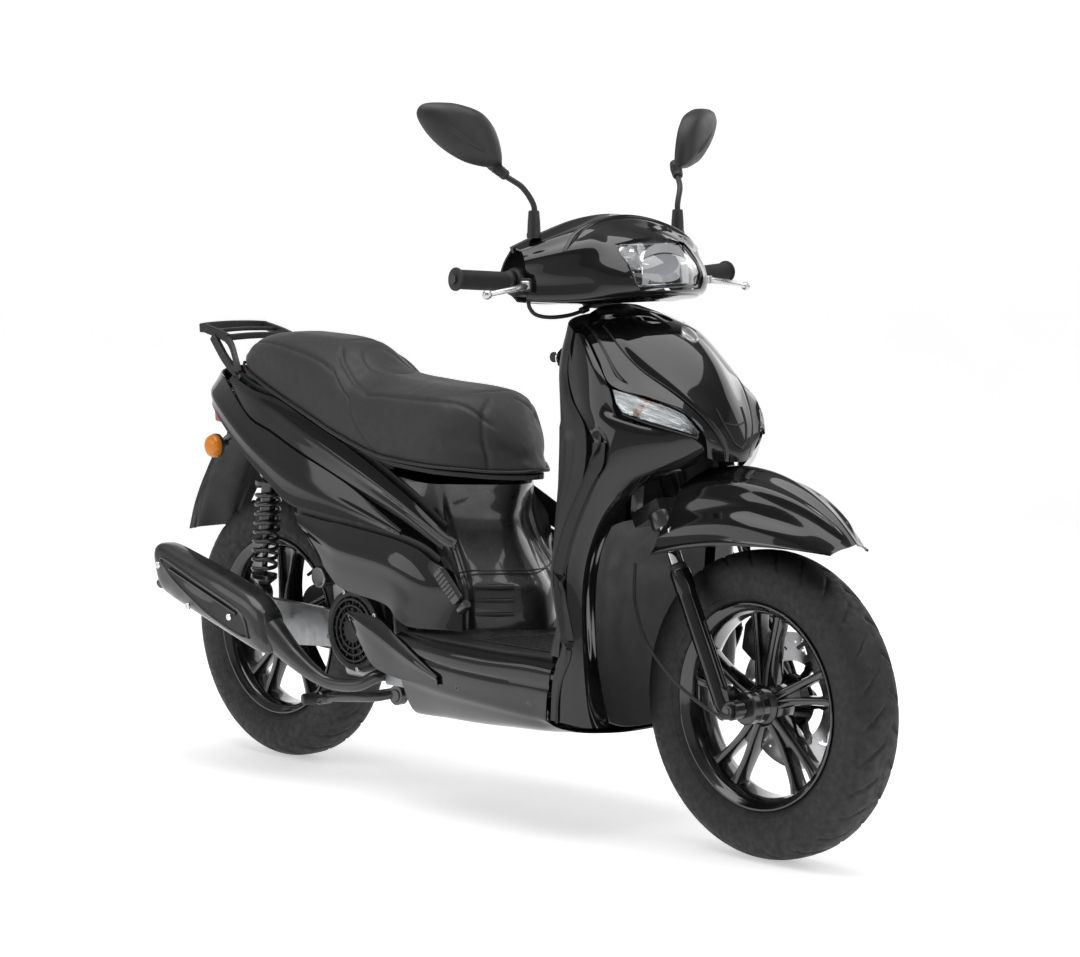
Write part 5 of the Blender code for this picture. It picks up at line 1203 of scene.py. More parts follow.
    def guard(u, v):
        t = abs(v - 0.5) * 2
        ridge = 0.0035 * np.exp(-(t / 0.10) ** 2)
        crease = 0.006 * np.exp(-((t - 0.42 + 0.22 * u) / 0.07) ** 2) * (1 - smooth(u, 0.80, 1.0))
        dip = -0.006 * np.exp(-((t - 0.66 + 0.15 * u) / 0.12) ** 2) * (1 - smooth(u, 0.55, 0.85))
        lip = 0.003 * smooth(t, 0.93, 0.96)
        return ridge + crease + dip + lip
    add("front_fender_skin", panel(symmetric(FENDER), (0.66, 0, 0.27), 130, 120, 0.003, 0.001, guard),
        "gloss",
        "steering", ("front_fender",), bevel=0.0008)


# ---------------------------------------------------------------- seat
def seat():
    """Foam cushion swelled by a cloth run, then its seams pressed in and piped."""
    profile = curve_through(SEAT_PROFILE, 90)
    loops = []
    for x, low, ridge, top, half, shoulder in profile:
        half, shoulder = half - 0.004, shoulder - 0.002
        right = [(0, low), (-half * 0.6, low), (-half + 0.006, low + 0.001), (-half, low + 0.010),
                 (-half * 1.01, low + 0.3 * (ridge - low)), (-(half + shoulder) / 2 - 0.002,
                         low + 0.72 * (ridge - low)),
                 (-shoulder - 0.004, ridge - 0.006), (-shoulder + 0.016, ridge + 0.003),
                 (-shoulder * 0.45, top - 0.12 * (top - ridge) - 0.002), (0, top - 0.003)]
        fine = curve_through(right, 40)
        loops.append([(x, y, z) for y, z in list(fine) + [(-y, z) for y, z in fine[-2:0:-1]]])
    points, faces = loft(loops)
    mesh = bpy.data.meshes.new("seat_cover")
    mesh.from_pydata([tuple(map(float, p)) for p in points], [], faces)
    work = bmesh.new()
    work.from_mesh(mesh)
    bmesh.ops.recalc_face_normals(work, faces=work.faces)
    work.to_mesh(mesh)
    work.free()
    item = bpy.data.objects.new("seat_cover", mesh)
    bpy.context.scene.collection.objects.link(item)
    bpy.context.view_layer.objects.active = item

    def bake():
        graph = bpy.context.evaluated_depsgraph_get()
        fresh = bpy.data.meshes.new_from_object(item.evaluated_get(graph))
        item.modifiers.clear()
        item.data = fresh
    step = item.modifiers.new("even", "REMESH")
    step.mode = "VOXEL"
    step.voxel_size = 0.0055
    bake()
    start = np.array([v.co for v in item.data.vertices])
    cloth = item.modifiers.new("foam", "CLOTH")
    cloth.settings.use_pressure = True
    cloth.settings.uniform_pressure_force = 4
    cloth.settings.effector_weights.gravity = 0
    cloth.settings.quality = 4
    cloth.point_cache.frame_start = 1
    cloth.point_cache.frame_end = 20
    for frame_number in range(1, 21):
        bpy.context.scene.frame_set(frame_number)
    bake()
    bpy.context.scene.frame_set(1)
    move = np.array([v.co for v in item.data.vertices]) - start
    size = np.linalg.norm(move, axis=1, keepdims=True)
    move *= np.minimum(1, 0.007 / np.maximum(size, 1e-9))
    under = np.interp(-start[:, 0], -profile[:, 0], profile[:, 1])
    move *= smooth(start[:, 2] - under, 0.002, 0.030)[:, None]
    for vertex, p in zip(item.data.vertices, start + move):
        vertex.co = p
    step = item.modifiers.new("even_out", "SMOOTH")
    step.iterations = 4
    step = item.modifiers.new("fine", "SUBSURF")
    step.levels = step.render_levels = 1
    bake()
    at = np.array([v.co for v in item.data.vertices])
    normal = np.array([v.normal for v in item.data.vertices])
    ridge = np.interp(-at[:, 0], -profile[:, 0], profile[:, 2])
    under = np.interp(-at[:, 0], -profile[:, 0], profile[:, 1])
    share = (at[:, 2] - under) / np.maximum(ridge - under, 0.01)
    wide = np.abs(at[:, 1])
    press = np.zeros(len(at))
    along = at[:, 0]
    on_top = smooth(normal[:, 2], 0.45, 0.70)
    on_side = smooth(share, 0.02, 0.12) * (1 - smooth(share, 0.96, 1.02))
    cut_line = np.interp(share, (0.0, 0.5, 0.85, 1.0), (-0.223, -0.303, -0.335, -0.413))
    press += 0.0030 * np.exp(-((along - cut_line) / 0.0045) ** 2) * on_side * (wide > 0.05)
    on_tail = smooth(along, -0.71, -0.66) * (1 - smooth(along, -0.42, -0.39))
    on_front = smooth(along, -0.31, -0.28) * (1 - smooth(along, 0.0, 0.02))
    press += 0.0032 * np.exp(-((share - 0.94) / 0.030) ** 2) * on_tail
    press += 0.0030 * np.exp(-((share - 0.97) / 0.032) ** 2) * on_front
    swoop = np.interp(along, (-0.44, -0.40, -0.34, -0.29), (0.050, 0.078, 0.092, 0.108))
    press += 0.0030 * np.exp(-((wide - swoop) / 0.005) ** 2) * on_top * smooth(along, -0.44, -0.42) * (
        1 - smooth(along, -0.30, -0.28))
    press += 0.0030 * np.exp(-((along + 0.440) / 0.005) ** 2) * on_top * (1 - smooth(wide, 0.045, 0.055))
    oval = np.sqrt(((along + 0.352) / 0.052) ** 2 + (at[:, 1] / 0.046) ** 2)
    press += 0.0026 * np.exp(-((oval - 1.0) / 0.09) ** 2) * smooth(at[:, 2], 0.775, 0.785)
    press -= 0.0030 * smooth(1 - oval, 0.05, 0.5) * smooth(at[:, 2], 0.775, 0.785)
    nose = 0.022 - 0.30 * np.maximum(0.080 - wide, 0) - 0.22 * np.maximum(at[:, 2] - 0.630, 0)
    press += 0.0028 * np.exp(-((along - nose) / 0.0045) ** 2) * smooth(share, 0.05, 0.15) * (wide > 0.030)
    press += 0.0028 * np.exp(-((along + 0.052) / 0.005) ** 2) * on_top * (1 - smooth(wide, 0.040, 0.055))
    at -= normal * press[:, None]
    for vertex, p in zip(item.data.vertices, at):
        vertex.co = p
    item.data.materials.clear()
    item.data.materials.append(M["vinyl"])
    item.data.shade_smooth()
    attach(item, "seat")
    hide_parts("seat_cushion")
    hem = [(x, -(half - 0.001), low + 0.004) for x, low, ridge, top, half, shoulder in profile[2:-3:2]]
    hem = hem + [(x, -y, z) for x, y, z in reversed(hem)]
    add("seat_hem", tube(hem, 0.0032, 12, closed=True), "trim", "seat")
    pan_lip = ((-1, 0.012), (1, 0.012), (1, 0.002), (-1, 0.002))
    add("seat_pan_edge", loft([[(x, s * (half - 0.012), low - d) for s, d in pan_lip]
                               for x, low, ridge, top, half, shoulder in profile[2:-2:4]]),
        "trim", "seat", ("seat_base",), bevel=0.002)


# ---------------------------------------------------------------- engine, exhaust, rear wheel
def engine():
    tyre("rear_tyre_tread", REAR, "rear_wheel", "rear_tyre")
    rim("rear_rim_cast", REAR, "rear_wheel", "rear_rim", -0.078, 0.058)

    case = [(-0.212, 0.250), (-0.240, 0.208), (-0.368, 0.208), (-0.384, 0.240), (-0.388, 0.340),
            (-0.370, 0.388),
            (-0.260, 0.394), (-0.222, 0.350)]
    belt = [(-0.235, 0.300), (-0.262, 0.232), (-0.330, 0.212), (-0.600, 0.212), (-0.690, 0.222),
            (-0.722, 0.268),
            (-0.700, 0.330), (-0.620, 0.352), (-0.420, 0.372), (-0.300, 0.380), (-0.248, 0.350)]
    arm = [(-0.360, 0.262), (-0.640, 0.240), (-0.690, 0.250), (-0.690, 0.285), (-0.640, 0.336),
           (-0.600, 0.336),
           (-0.360, 0.330)]

    def rounded(outline, count=90):
        loop = curve_through(outline + outline[:2], count)
        return [tuple(p) for p in loop[:-int(count / (len(outline) + 1)) - 1]]
    lug = turned([(0.0108, -0.040), (0.024, -0.040), (0.024, 0.040), (0.0108, 0.040)], (-0.160, 0, 0.335),
                 (0, 1, 0),
                 48, ring=True)
    lug_arm = slab([(-0.182, 0.322), (-0.230, 0.260), (-0.245, 0.345), (-0.182, 0.352)], 1, -0.036, 0.036)
    add("engine_case", join([slab(case, 1, -0.100, 0.064), lug, lug_arm]), "alloy", "engine",
        ("engine_unit",),
        bevel=0.006, segments=3)
    add("swing_arm_right", slab(arm, 1, -0.098, -0.084), "alloy", "engine", bevel=0.003, segments=3)
    add("belt_case", join([slab(rounded(belt), 1, 0.064, 0.136)]), "trim", "engine", bevel=0.005,
        segments=3)
    small = [(x * 0.90 - 0.047, z * 0.86 + 0.041) for x, z in belt]
    add("belt_case_cover", slab(rounded(small), 1, 0.134, 0.142), "trim", "engine", bevel=0.003, segments=3)
    for k in range(3):
        x = -0.300 - k * 0.115
        add("belt_case_rib_%d" % k, bar([(x, 0.1425, 0.335 - k * 0.008), (x - 0.085, 0.1425, 0.255)],
                                        0.004, 0.005, 10,
                                        (0, 1, 0)), "trim", "engine", bevel=0.001)
    for k, (x, z) in enumerate(((-0.262, 0.300), (-0.330, 0.228), (-0.480, 0.226), (-0.640, 0.236),
                                (-0.690, 0.300),
                                (-0.560, 0.342), (-0.400, 0.358))):
        screw("belt_case_screw_%d" % k, (x, 0.1385, z), (0, 1, 0), "engine", 0.0055)
    fins = []
    for k in range(7):
        x = -0.226 - k * 0.009
        fins.append(loft([[(x, -0.094, 0.262), (x, 0.060, 0.262), (x, 0.060, 0.384), (x, -0.094, 0.372)],
                          [(x - 0.003, -0.094, 0.262), (x - 0.003, 0.060, 0.262), (x - 0.003, 0.060, 0.388),
                           (x - 0.003, -0.094, 0.376)]]))
    add("cylinder_fins", join(fins), "alloy", "engine")
    cap = slab([(-0.182, 0.206), (-0.236, 0.206), (-0.240, 0.236), (-0.190, 0.240)], 1, -0.112, -0.060)
    add("oil_filter_cap", cap, "alloy", "engine", bevel=0.004, segments=3)
    crank = slab([(-0.372, 0.300), (-0.384, 0.386), (-0.345, 0.402), (-0.268, 0.404), (-0.232, 0.380),
                  (-0.226, 0.362),
                  (-0.300, 0.372), (-0.350, 0.350)], 1, -0.122, -0.096)
    add("crankcase_top", crank, "alloy", "engine", bevel=0.005, segments=3)
    starter_motor = turned([(0.0, -0.045), (0.019, -0.045), (0.021, -0.042), (0.021, 0.040), (0.017, 0.045),
                            (0.0, 0.046)], (-0.452, -0.058, 0.392), (0, 1, 0), 44)
    add("starter_motor", starter_motor, "alloy", "engine", bevel=0.001)
    filter_box = slab(rounded([(-0.470, 0.380), (-0.480, 0.440), (-0.440, 0.470), (-0.330, 0.462),
                               (-0.310, 0.420),
                               (-0.330, 0.385)]), 1, 0.085, 0.150)
    add("air_filter_box", filter_box, "matte", "engine", bevel=0.006, segments=3)
    throat = tube([(-0.330, 0.110, 0.430), (-0.290, 0.080, 0.440), (-0.262, 0.030, 0.425),
                   (-0.262, 0.000, 0.396)],
                  [0.020, 0.017, 0.016, 0.018], 24, 30)
    add("intake_hose", throat, "grip", "engine")

    centre = Vector((-0.305, -0.1006, 0.306))
    grille = [turned([(0.030, 0.0), (0.078, 0.0), (0.081, 0.003), (0.081, 0.026), (0.078, 0.033),
                      (0.072, 0.036),
                      (0.066, 0.034), (0.063, 0.030), (0.060, 0.022), (0.030, 0.022)], centre, (0, -1, 0),
                      96,
                     ring=True)]
    for r in (0.022, 0.035, 0.048, 0.060):
        grille.append(turned([(r - 0.0022, 0.030), (r + 0.0022, 0.030), (r + 0.0022, 0.036),
                              (r - 0.0022, 0.036)],
                             centre, (0, -1, 0), 72, ring=True))
    for k in range(16):
        a = 2 * math.pi * k / 16
        out = Vector((math.cos(a), 0, math.sin(a)))
        grille.append(tube([centre + out * 0.018 + Vector((0, -0.033, 0)),
                            centre + out * 0.068 + Vector((0, -0.031, 0))],
                           0.0022, 8))
    grille.append(turned([(0.0, 0.020), (0.021, 0.020), (0.021, 0.036), (0.017, 0.039), (0.0, 0.040)],
                         centre,
                         (0, -1, 0), 48))
    shroud = slab([(-0.225, 0.300), (-0.232, 0.380), (-0.262, 0.404), (-0.300, 0.396), (-0.372, 0.350),
                   (-0.385, 0.300), (-0.360, 0.240), (-0.300, 0.222), (-0.245, 0.240)], 1, -0.118, -0.1006)
    add("fan_cover_grille", join(grille), "trim", "engine", ("fan_cover",), bevel=0.0006)
    add("fan_cover_plate", shroud, "trim", "engine", bevel=0.004, segments=3)
    blades = []
    for k in range(14):
        a = 2 * math.pi * k / 14
        out, across = Vector((math.cos(a), 0, math.sin(a))), Vector((-math.sin(a), 0, math.cos(a)))
        blades.append(loft([[centre + out * r + across * (t + s * 0.001) + Vector((0, -h, 0)) for s, h in
                             ((-1, 0.004), (1, 0.004), (1, 0.026), (-1, 0.026))]
                            for r, t in ((0.024, 0.0), (0.042, 0.004), (0.060, 0.012))]))
    add("cooling_fan", join(blades), "satin", "engine")
    for k, a in enumerate((0.5, 1.9, 3.4, 4.9)):
        place = centre + Vector((math.cos(a) * 0.0755, -0.034, math.sin(a) * 0.0755))
        screw("fan_cover_screw_%d" % k, place, (0, -1, 0), "engine", 0.0045)

    stations = [(-0.462, 0.298, 0.038, 0.022), (-0.472, 0.300, 0.050, 0.031), (-0.500, 0.308, 0.059, 0.038),
                (-0.570, 0.328, 0.060, 0.040), (-0.640, 0.347, 0.0585, 0.0405), (-0.720, 0.368, 0.057,
                        0.040),
                (-0.785, 0.385, 0.0545, 0.038), (-0.806, 0.390, 0.048, 0.034), (-0.818, 0.393, 0.034,
                        0.024)]
    lean = math.radians(16)
    loops = []
    for x, z, high, wide in curve_through(stations, 60):
        loop = []
        for k in range(56):
            a = 2 * math.pi * k / 56
            ca = math.copysign(abs(math.cos(a)) ** 0.62, math.cos(a))
            sa = math.copysign(abs(math.sin(a)) ** 0.62, math.sin(a))
            loop.append((x - math.sin(lean) * sa * high, -0.202 + ca * wide,
                         z + math.cos(lean) * sa * high))
        loops.append(loop)
    header = tube([(-0.246, -0.104, 0.226), (-0.250, -0.126, 0.220), (-0.280, -0.150, 0.204),
                   (-0.350, -0.166, 0.206),
                   (-0.420, -0.184, 0.245), (-0.480, -0.200, 0.296)], [0.0125, 0.0125, 0.0125, 0.0135,
                           0.021, 0.030],
                  28, 70)
    add("muffler_can", join([loft(loops), header]), "exhaust", "engine", ("muffler",), sharp=55)

    def on_can(x, lift, out=0.0):
        z = np.interp(-x, [-s[0] for s in stations], [s[1] for s in stations])
        wide = np.interp(-x, [-s[0] for s in stations], [s[3] for s in stations])
        return Vector((x - math.sin(lean) * lift, -0.202 - wide - out, z + math.cos(lean) * lift))
    guard = [(-0.505, -0.030), (-0.540, -0.036), (-0.640, -0.030), (-0.755, 0.004), (-0.775, 0.026),
             (-0.755, 0.034),
             (-0.640, 0.026), (-0.540, 0.020), (-0.508, 0.006)]
    ring = curve_through(guard + guard[:1], 80)[:-1]
    rim_path = [on_can(x, z, 0.0005) for x, z in ring]
    add("muffler_shield_edge", tube(rim_path, 0.0028, 10, closed=True), "exhaust", "engine")
    plate = loft([[on_can(x, z, -0.004) for x, z in ring],
                  [on_can(-0.640 + (x + 0.640) * 0.97, z * 0.90, 0.0012) for x, z in ring]])
    add("muffler_shield_panel", plate, "trim", "engine", sharp=50)
    groove = [on_can(x, 0.014 + (x + 0.64) * -0.05, 0.0020) for x in np.linspace(-0.745, -0.530, 30)]
    add("muffler_shield_slot", tube(groove, 0.0035, 12, flat=0.7), "gloss", "engine")
    for k, (x, z) in enumerate(((-0.556, -0.008), (-0.700, -0.040), (-0.788, 0.012))):
        screw("muffler_screw_%d" % k, on_can(x, z, 0.002), (0, -1, 0), "engine", 0.0072, "chrome")
    tip = turned([(0.0, 0.020), (0.008, 0.020), (0.008, 0.042), (0.0105, 0.042), (0.0110, 0.0), (0.0, 0.0)],
                 (-0.800, -0.202, 0.372), (-0.8, 0, -0.45), 32)
    add("muffler_outlet", tip, "exhaust", "engine")
    bracket = slab([(-0.520, 0.318), (-0.560, 0.300), (-0.655, 0.262), (-0.672, 0.286), (-0.640, 0.330),
                    (-0.590, 0.372), (-0.540, 0.360)], 1, -0.166, -0.158)
    add("muffler_bracket", bracket, "exhaust", "engine", bevel=0.002)
    nut = turned([(0.0, 0.0), (0.0085, 0.0), (0.013, 0.002), (0.013, 0.010), (0.008, 0.012), (0.0, 0.013)],
                 (REAR.x, -0.098, REAR.z), (0, -1, 0), 36)
    add("rear_axle_nut", nut, "silver", "engine")
    spindle = tube([(REAR.x, -0.090, REAR.z), (REAR.x, 0.070, REAR.z)], 0.0080, 32)
    add("rear_axle", spindle, "satin", "engine")
    carrier = slab([(-0.640, 0.330), (-0.600, 0.334), (-0.598, 0.350), (-0.614, 0.368), (-0.632, 0.352)],
                   1, -0.098,
                   -0.126)
    add("shock_lug", carrier, "alloy", "engine", bevel=0.002)

    x, z = -0.245, 0.180
    pivot = join([tube([(x, -0.080, z), (x, 0.080, z)], 0.0115, 36),
                  slab([(x - 0.011, z), (x + 0.011, z), (x + 0.011, z + 0.034), (x - 0.011, z + 0.034)], 1,
                       -0.045,
                       0.045)])
    add("stand_bracket", pivot, "satin", "engine", bevel=0.001)
    leg = tube([(x - 0.021, -0.072, z - 0.001), (x - 0.042, -0.097, z - 0.006),
                (x - 0.105, -0.106, z - 0.013),
                (x - 0.173, -0.112, z - 0.020)], 0.0092, 24, 40)
    brace = tube([(x - 0.085, -0.104, z - 0.010), (x - 0.085, 0.104, z - 0.010)], 0.0075, 24)
    foot = turned([(0.0, -0.016), (0.0115, -0.016), (0.0135, -0.013), (0.0135, 0.013), (0.0115, 0.016),
                   (0.0, 0.016)],
                  (x - 0.176, -0.113, z - 0.021), (0, 1, 0), 36)
    pedal = tube([(x - 0.166, -0.112, z - 0.019), (x - 0.182, -0.152, z - 0.022)], 0.0078, 24, 8)
    rubber = turned([(0.0080, 0.0), (0.0115, 0.002), (0.0115, 0.026), (0.0095, 0.029), (0.0, 0.030)],
                    (x - 0.176, -0.132, z - 0.0205), (-0.37, -0.93, -0.05), 30)
    eye = turned([(0.0125, -0.078), (0.0190, -0.078), (0.0190, -0.062), (0.0125, -0.062)], (x, 0, z),
                 (0, 1, 0), 40,
                 ring=True)
    add("stand_legs", join([leg, mirrored(leg), brace, pedal, eye, mirrored(eye), foot, mirrored(foot)]),
        "satin",
        "stand", ("center_stand",))
    add("stand_pedal_rubber", rubber, "grip", "stand")


def shock():
    top, foot = Vector((-0.590, -0.112, 0.592)), Vector((-0.614, -0.112, 0.350))
    down = (foot - top).normalized()
    length = (foot - top).length
    upper = [turned([(0.0105, -0.012), (0.018, -0.012), (0.018, 0.012), (0.0105, 0.012)], top, (0, 1, 0),
                    40, ring=True),
             turned([(0.016, 0.014), (0.0275, 0.019), (0.0275, 0.027), (0.0150, 0.028), (0.0150, 0.118),
                     (0.0080, 0.118),
                     (0.0080, 0.024), (0.0, 0.024), (0.0, 0.014)], top, down, 44)]
    add("shock_top_cup", join(upper), "satin", "damper_body", ("shock_body",), bevel=0.0006)
    lower = [turned([(0.0075, -0.012), (0.016, -0.012), (0.016, 0.012), (0.0075, 0.012)], foot, (0, 1, 0),
                    40, ring=True),
             turned([(0.0, 0.080), (0.0060, 0.080), (0.0060, length - 0.040), (0.0265, length - 0.036),
                     (0.0265, length - 0.028), (0.012, length - 0.014), (0.0, length - 0.014)], top, down,
                     44)]
    add("shock_rod_turned", join(lower), "satin", "damper_rod", ("shock_rod",), bevel=0.0005)
    turns, steps = 9, 9 * 26
    across = down.orthogonal().normalized()
    other = down.cross(across)
    coil = []
    for k in range(steps + 1):
        t = k / steps
        angle = 2 * math.pi * turns * t
        coil.append(top + down * (0.031 + (length - 0.076) * t)
                    + (across * math.cos(angle) + other * math.sin(angle)) * 0.0232)
    spring = add("shock_spring_coil", tube(coil, 0.0044, 12), "satin", None)
    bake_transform(spring)
    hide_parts("shock_spring")
    for name, spot in (("upper", top), ("lower", foot)):
        bolt = turned([(0.0, 0.0), (0.0055, 0.0), (0.0095, 0.0015), (0.0095, 0.006), (0.0055, 0.0075),
                       (0.0, 0.0075)],
                      spot + Vector((0, -0.012, 0)), (0, -1, 0), 36)
        add("shock_bolt_" + name, bolt, "silver", "damper_body" if name == "upper" else "damper_rod")


# ---------------------------------------------------------------- small parts
def small_parts():
    flanges = {"side_upper": ([(p[0], p[1] + 0.012,
                                p[2] - 0.006) for p in (row[2] for row in SIDE_COVER[:-1])], 0.030),
               "side_lower": ([(p[0], p[1] + 0.010,
                                p[2] + 0.004) for p in (row[0] for row in SIDE_COVER[:-1])], 0.030),
               "wing_lower": ([(p[0], p[1] + 0.010,
                                p[2] + 0.006) for p in (row[0] for row in TAIL_WING[1:6])], 0.026),
               "cover_upper": ([(p[0], p[1] + 0.010,
                                 p[2] - 0.004) for p in (row[2] for row in LOWER_COVER[:-2])],
                               0.030)}
    flanges["shield_edge"] = [(p[0] + 0.006, p[1] + 0.008, p[2]) for p in (row[0] for row in APRON)], 0.026
    for name, (path, tall) in flanges.items():
        pair("panel_flange_" + name, bar(path, 0.003, tall, 60), "trim", "chassis")

    wing = [[(-0.247, -0.193, 0.355), (-0.249, -0.194, 0.350), (-0.247, -0.193, 0.344)],
            [(-0.195, -0.199, 0.356), (-0.205, -0.203, 0.334), (-0.212, -0.198, 0.308)],
            [(-0.140, -0.204, 0.350), (-0.150, -0.208, 0.312), (-0.165, -0.204, 0.264)],
            [(-0.085, -0.211, 0.326), (-0.093, -0.212, 0.292), (-0.100, -0.211, 0.250)],
            [(-0.020, -0.220, 0.298), (-0.022, -0.221, 0.275), (-0.030, -0.216, 0.247)],
            [(0.045, -0.2245, 0.268), (0.045, -0.2235, 0.260), (0.045, -0.2215, 0.250)]]
    pair("skirt_wing", panel(wing, (-0.15, 0, 0.30), 60, 24, 0.003, 0.0, lambda u, v: 0.002 * np.exp(
        -((v - 0.35) / 0.12) ** 2)), "gloss", "chassis", bevel=0.0008)
    tub = []
    for x, half, low, high in ((-0.430, 0.100, 0.620, 0.668), (-0.560, 0.102, 0.628, 0.700),
                               (-0.680, 0.092, 0.655, 0.735),
                               (-0.745, 0.078, 0.690, 0.760), (-0.785, 0.055, 0.715, 0.775)):
        tub.append([(x, y * half, z) for y, z in ((-0.85, low), (0.85, low), (1, (low + high) / 2),
                                                  (0.9, high),
                                                  (-0.9, high), (-1, (low + high) / 2))])
    add("tail_inner_moulding", loft(tub), "trim", "chassis", bevel=0.002)

    strip = [(x, y, 0.3345) for x, y in ((0.284, -0.034), (0.320, -0.050), (0.325, -0.196), (0.200, -0.204),
                                         (0.020, -0.201), (-0.050, -0.188), (-0.090, -0.178))]
    edge = strip + [(x, -y, z) for x, y, z in reversed(strip)]
    plate = slab([(x, y) for x, y, z in edge], 2, 0.3115, 0.333)
    add("floorboard_moulding", plate, "matte", "chassis", ("floorboard",), bevel=0.003, segments=3)
    ribs = []
    for k in range(9):
        y = 0.030 + k * 0.017
        for way in (-1, 1):
            front, back = 0.292, max(0.118 - k * 0.004, 0.06) if k > 2 else 0.130
            ribs.append(tube([(back, way * y, 0.3332), (back + 0.006, way * y, 0.3342),
                              (front - 0.006, way * y, 0.3342),
                              (front, way * y, 0.3332)], 0.0028, 8))
    add("floorboard_ribs", join(ribs), "matte", "chassis")
    for k, x in enumerate((0.287, 0.095)):
        for way in (-1, 1):
            screw("skirt_screw_%d_%s" % (k, SIDE[way]), (x, way * 0.2165, 0.246 + k * 0.006),
                  (0, way, -0.2), "chassis", 0.0060, "satin")
    slots = []
    for z in (0.420, 0.394, 0.368):
        slots.append(tube([(0.022 + (0.405 - z) * 0.06, -0.110, z), (0.050, -0.079, z),
                           (0.072, -0.058, z + 0.001)],
                          [0.003, 0.0048, 0.0042], 12, 20, flat=0.6))
    pair("battery_box_slots", join(slots), "trim", "chassis")
    box_lid = [(0.006, -0.137, 0.446), (0.006, -0.100, 0.4475), (0.046, -0.052, 0.447), (0.070, 0.0, 0.447),
               (0.046, 0.052, 0.447), (0.006, 0.100, 0.4475), (0.006, 0.137, 0.446)]
    add("battery_box_seam", tube(box_lid, 0.0016, 8, 60), "trim", "chassis")

    lens = [(-0.800, -0.072), (-0.838, -0.060), (-0.856, -0.030), (-0.860, 0.0)]
    lens = lens + [(x, -y) for x, y in reversed(lens[:-1])]
    outline = curve_through(lens, 40)
    loops = []
    for z, grow in ((0.676, -0.003), (0.678, 0.0), (0.694, 0.0012), (0.710, 0.0), (0.712, -0.003)):
        loops.append([(x - grow, y * (1 + grow * 4), z) for x, y in outline])
    add("tail_light_lens", loft(loops), "red", "chassis", ("tail_light",))
    inner = loft([[(x + 0.010, y * 0.90, z) for x, y in outline] for z in (0.680, 0.708)])
    add("tail_light_reflector", inner, "chrome", "chassis")
    carrier = loft([[(-0.790, -0.030, z), (-0.845, -0.026, z - 0.004), (-0.845, 0.026, z - 0.004),
                     (-0.790, 0.030, z)]
                    for z in (0.650, 0.655)])
    add("plate_carrier", carrier, "matte", "chassis", bevel=0.001)

    spot, away = Vector((-0.775, -0.098, 0.631)), Vector((0, -1, 0))
    pod = turned([(0.0, 0.004), (0.0235, 0.004), (0.0240, 0.010), (0.0236, 0.015), (0.0215, 0.021),
                  (0.016, 0.0255),
                  (0.008, 0.0278), (0.0, 0.0284)], spot, away, 48)
    cup = turned([(0.0, -0.004), (0.010, -0.003), (0.020, 0.0), (0.0248, 0.004), (0.0252, 0.010),
                  (0.0240, 0.0105),
                  (0.0, 0.0100)], spot, away, 48)
    stub = tube([(-0.775, -0.078, 0.636), (-0.775, -0.100, 0.632)], 0.0075, 24)
    pair("rear_indicator_lens", pod, "amber", "chassis")
    pair("rear_indicator", join([cup, stub]), "grip", "chassis", "rear_indicator")

    rack = [bar([(-0.850, -0.084, 0.867), (-0.858, -0.050, 0.869), (-0.860, 0.0, 0.870),
                 (-0.858, 0.050, 0.869),
                  (-0.850, 0.084, 0.867)], 0.013, 0.019, 24),
            bar([(-0.772, -0.082, 0.850), (-0.778, 0.0, 0.852), (-0.772, 0.082, 0.850)], 0.012, 0.013, 16),
            bar([(-0.812, -0.080, 0.862), (-0.816, 0.0, 0.864), (-0.812, 0.080, 0.862)], 0.016, 0.008, 16)]
    sides = [bar([(-0.852, -0.078, 0.868), (-0.800, -0.079, 0.858), (-0.765, -0.080, 0.849)], 0.011, 0.018,
                 16),
             bar([(-0.812, -0.082, 0.852), (-0.790, -0.084, 0.830), (-0.763, -0.087, 0.806),
                  (-0.727, -0.091, 0.784),
                   (-0.690, -0.095, 0.768), (-0.655, -0.098, 0.758)], 0.012, 0.018, 30),
             bar([(-0.768, -0.081, 0.848), (-0.752, -0.083, 0.838), (-0.738, -0.087, 0.824),
                  (-0.722, -0.093, 0.805),
                   (-0.708, -0.096, 0.782)], 0.010, 0.014, 24)]
    add("rack_bars", join(rack + sides + [mirrored(b) for b in sides]), "matte", "chassis",
        ("luggage_rack",),
        bevel=0.0028, segments=3)
    for k, x in enumerate((-0.662, -0.700)):
        for way in (-1, 1):
            screw("rack_bolt_%d_%s" % (k, SIDE[way]),
                  (x, way * 0.104, 0.761 + (0.012 if k else 0.0)), (0, way, 0.4), "chassis", 0.0065,
                  "satin")

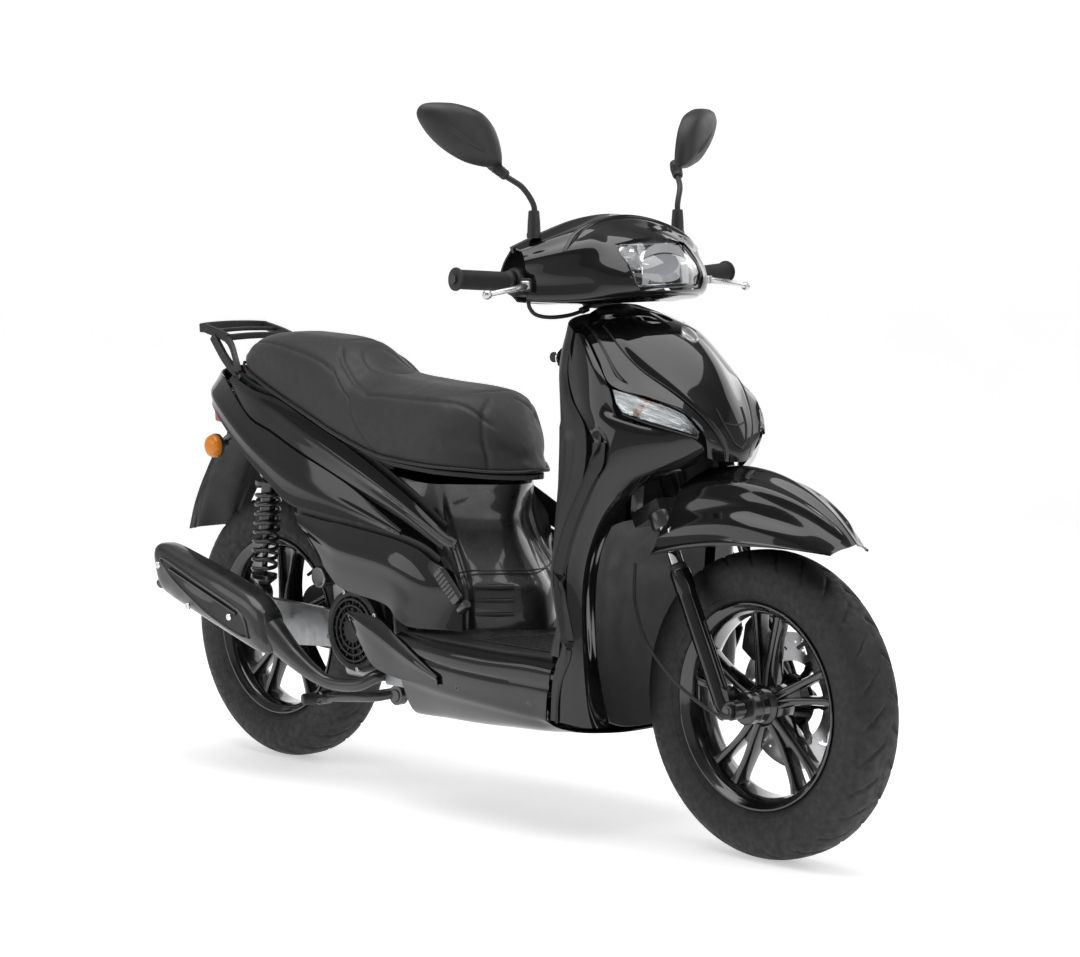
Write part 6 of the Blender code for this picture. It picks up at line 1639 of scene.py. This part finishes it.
    low, high = Vector((0.040, -0.166, 0.398)), Vector((-0.008, -0.176, 0.456))
    run = (high - low).normalized()
    across = run.cross(Vector((0, -1, 0))).normalized()
    loops = []
    for step, half, thick in curve_through(((0.0, 0.009, 0.005), (0.006, 0.0135, 0.0060),
                                            (0.036, 0.0145, 0.0062),
                                            (0.064, 0.0150, 0.0062), (0.072, 0.0125, 0.0055),
                                            (0.075, 0.008, 0.004)), 26):
        middle = low + run * step
        loops.append([middle + across * a * half + Vector((0, b * thick, 0)) for a, b in
                      ((-1, -0.5), (-0.75, -1), (0.75, -1), (1, -0.5), (1, 0.5), (0.75, 1), (-0.75, 1),
                       (-1, 0.5))])
    pad = [bar([low + run * s - across * 0.010 + Vector((0, -0.0066, 0)), low + run * s + across * 0.010
                + Vector((0, -0.0066, 0))], 0.0016, 0.0022, 4) for s in (0.014, 0.022, 0.030, 0.038, 0.046,
                        0.054, 0.062)]
    for side, flip in (("right", lambda q: q), ("left", mirrored)):
        add("footrest_%s_cast" % side, flip(loft(loops)), "satin", "peg_" + side, ("footrest_" + side,),
            bevel=0.0008)
        add("footrest_%s_pad" % side, flip(join(pad)), "grip", "peg_" + side)
        knuckle = turned([(0.0, -0.012), (0.0085, -0.012), (0.0095, -0.010), (0.0095, 0.010),
                          (0.0085, 0.012),
                          (0.0, 0.012)], low - run * 0.012 + Vector((0, 0.004, 0)), across, 28)
        add("footrest_%s_bracket" % side, flip(knuckle), "satin", "chassis")

    at = Vector((0.2160, -0.072, 0.850))
    ring = turned([(0.0115, 0.000), (0.0165, 0.0005), (0.0170, 0.002), (0.0160, 0.0035), (0.0115, 0.0035)],
                  at + Vector((0.003, 0, 0)), (-1, 0, 0), 44, ring=True)
    add("ignition_surround", ring, "chrome", "chassis")
    barrel = turned([(0.0, 0.0), (0.0105, 0.0), (0.0110, 0.002), (0.0106, 0.004), (0.0060, 0.005),
                     (0.0, 0.005)], at,
                    (-1, 0, 0), 44)
    bow = slab(curve_through([(-0.0205 + at.x + 0.010 * math.cos(a), at.z + 0.0095 * math.sin(a)) for a in
                              np.linspace(0, 2 * math.pi, 20)], 60)[:-1], 1, at.y - 0.0022, at.y + 0.0022)
    blade = slab([(at.x - 0.004, at.z - 0.003), (at.x - 0.013, at.z - 0.0035),
                  (at.x - 0.013, at.z + 0.0035),
                  (at.x - 0.004, at.z + 0.003)], 1, at.y - 0.001, at.y + 0.001)
    add("ignition_key_barrel", join([barrel, blade]), "silver", "key", ("ignition_key",))
    add("ignition_key_bow", bow, "grip", "key", bevel=0.0008)
    button = turned([(0.0, 0.0), (0.0065, 0.0), (0.0065, 0.0078), (0.0058, 0.0092), (0.003, 0.0098),
                     (0.0, 0.0100)],
                    (0.1858, -0.160, 0.992), (-1, 0, 0), 32)
    add("starter_button_cap", button, "amber", "starter", ("starter_button",))
    knob = slab([(0.1758, 0.988), (0.1858, 0.988), (0.1858, 0.996), (0.1772, 0.996)], 1, 0.152, 0.168)
    add("signal_switch_knob", knob, "grip", "signals", ("signal_switch",), bevel=0.0012, segments=3)


def finish_nodes():
    """Every CAD part that still shows gets its detailed material."""
    finish = {"gloss_black": "gloss", "matte_black": "matte", "frame_paint": "satin",
              "alloy_black": "alloy_black",
              "tyre_rubber": "tyre", "grip_rubber": "grip", "seat_vinyl": "vinyl", "bare_alloy": "alloy",
              "disc_steel": "disc", "chrome_part": "chrome", "clear_lens": "clear", "amber_lens": "amber",
              "red_lens": "red", "dark_exhaust": "exhaust"}
    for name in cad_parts:
        item = bpy.data.objects.get(name)
        if item is None or not item.data:
            continue
        for place in item.material_slots:
            kind = (place.material.name if place.material else "").split(".")[0]
            for key, value in finish.items():
                if key in kind:
                    place.material = M[value]
                    break
            else:
                place.material = M["matte"]


studio()
bodywork()
cockpit()
front_end()
seat()
engine()
shock()
small_parts()
finish_nodes()
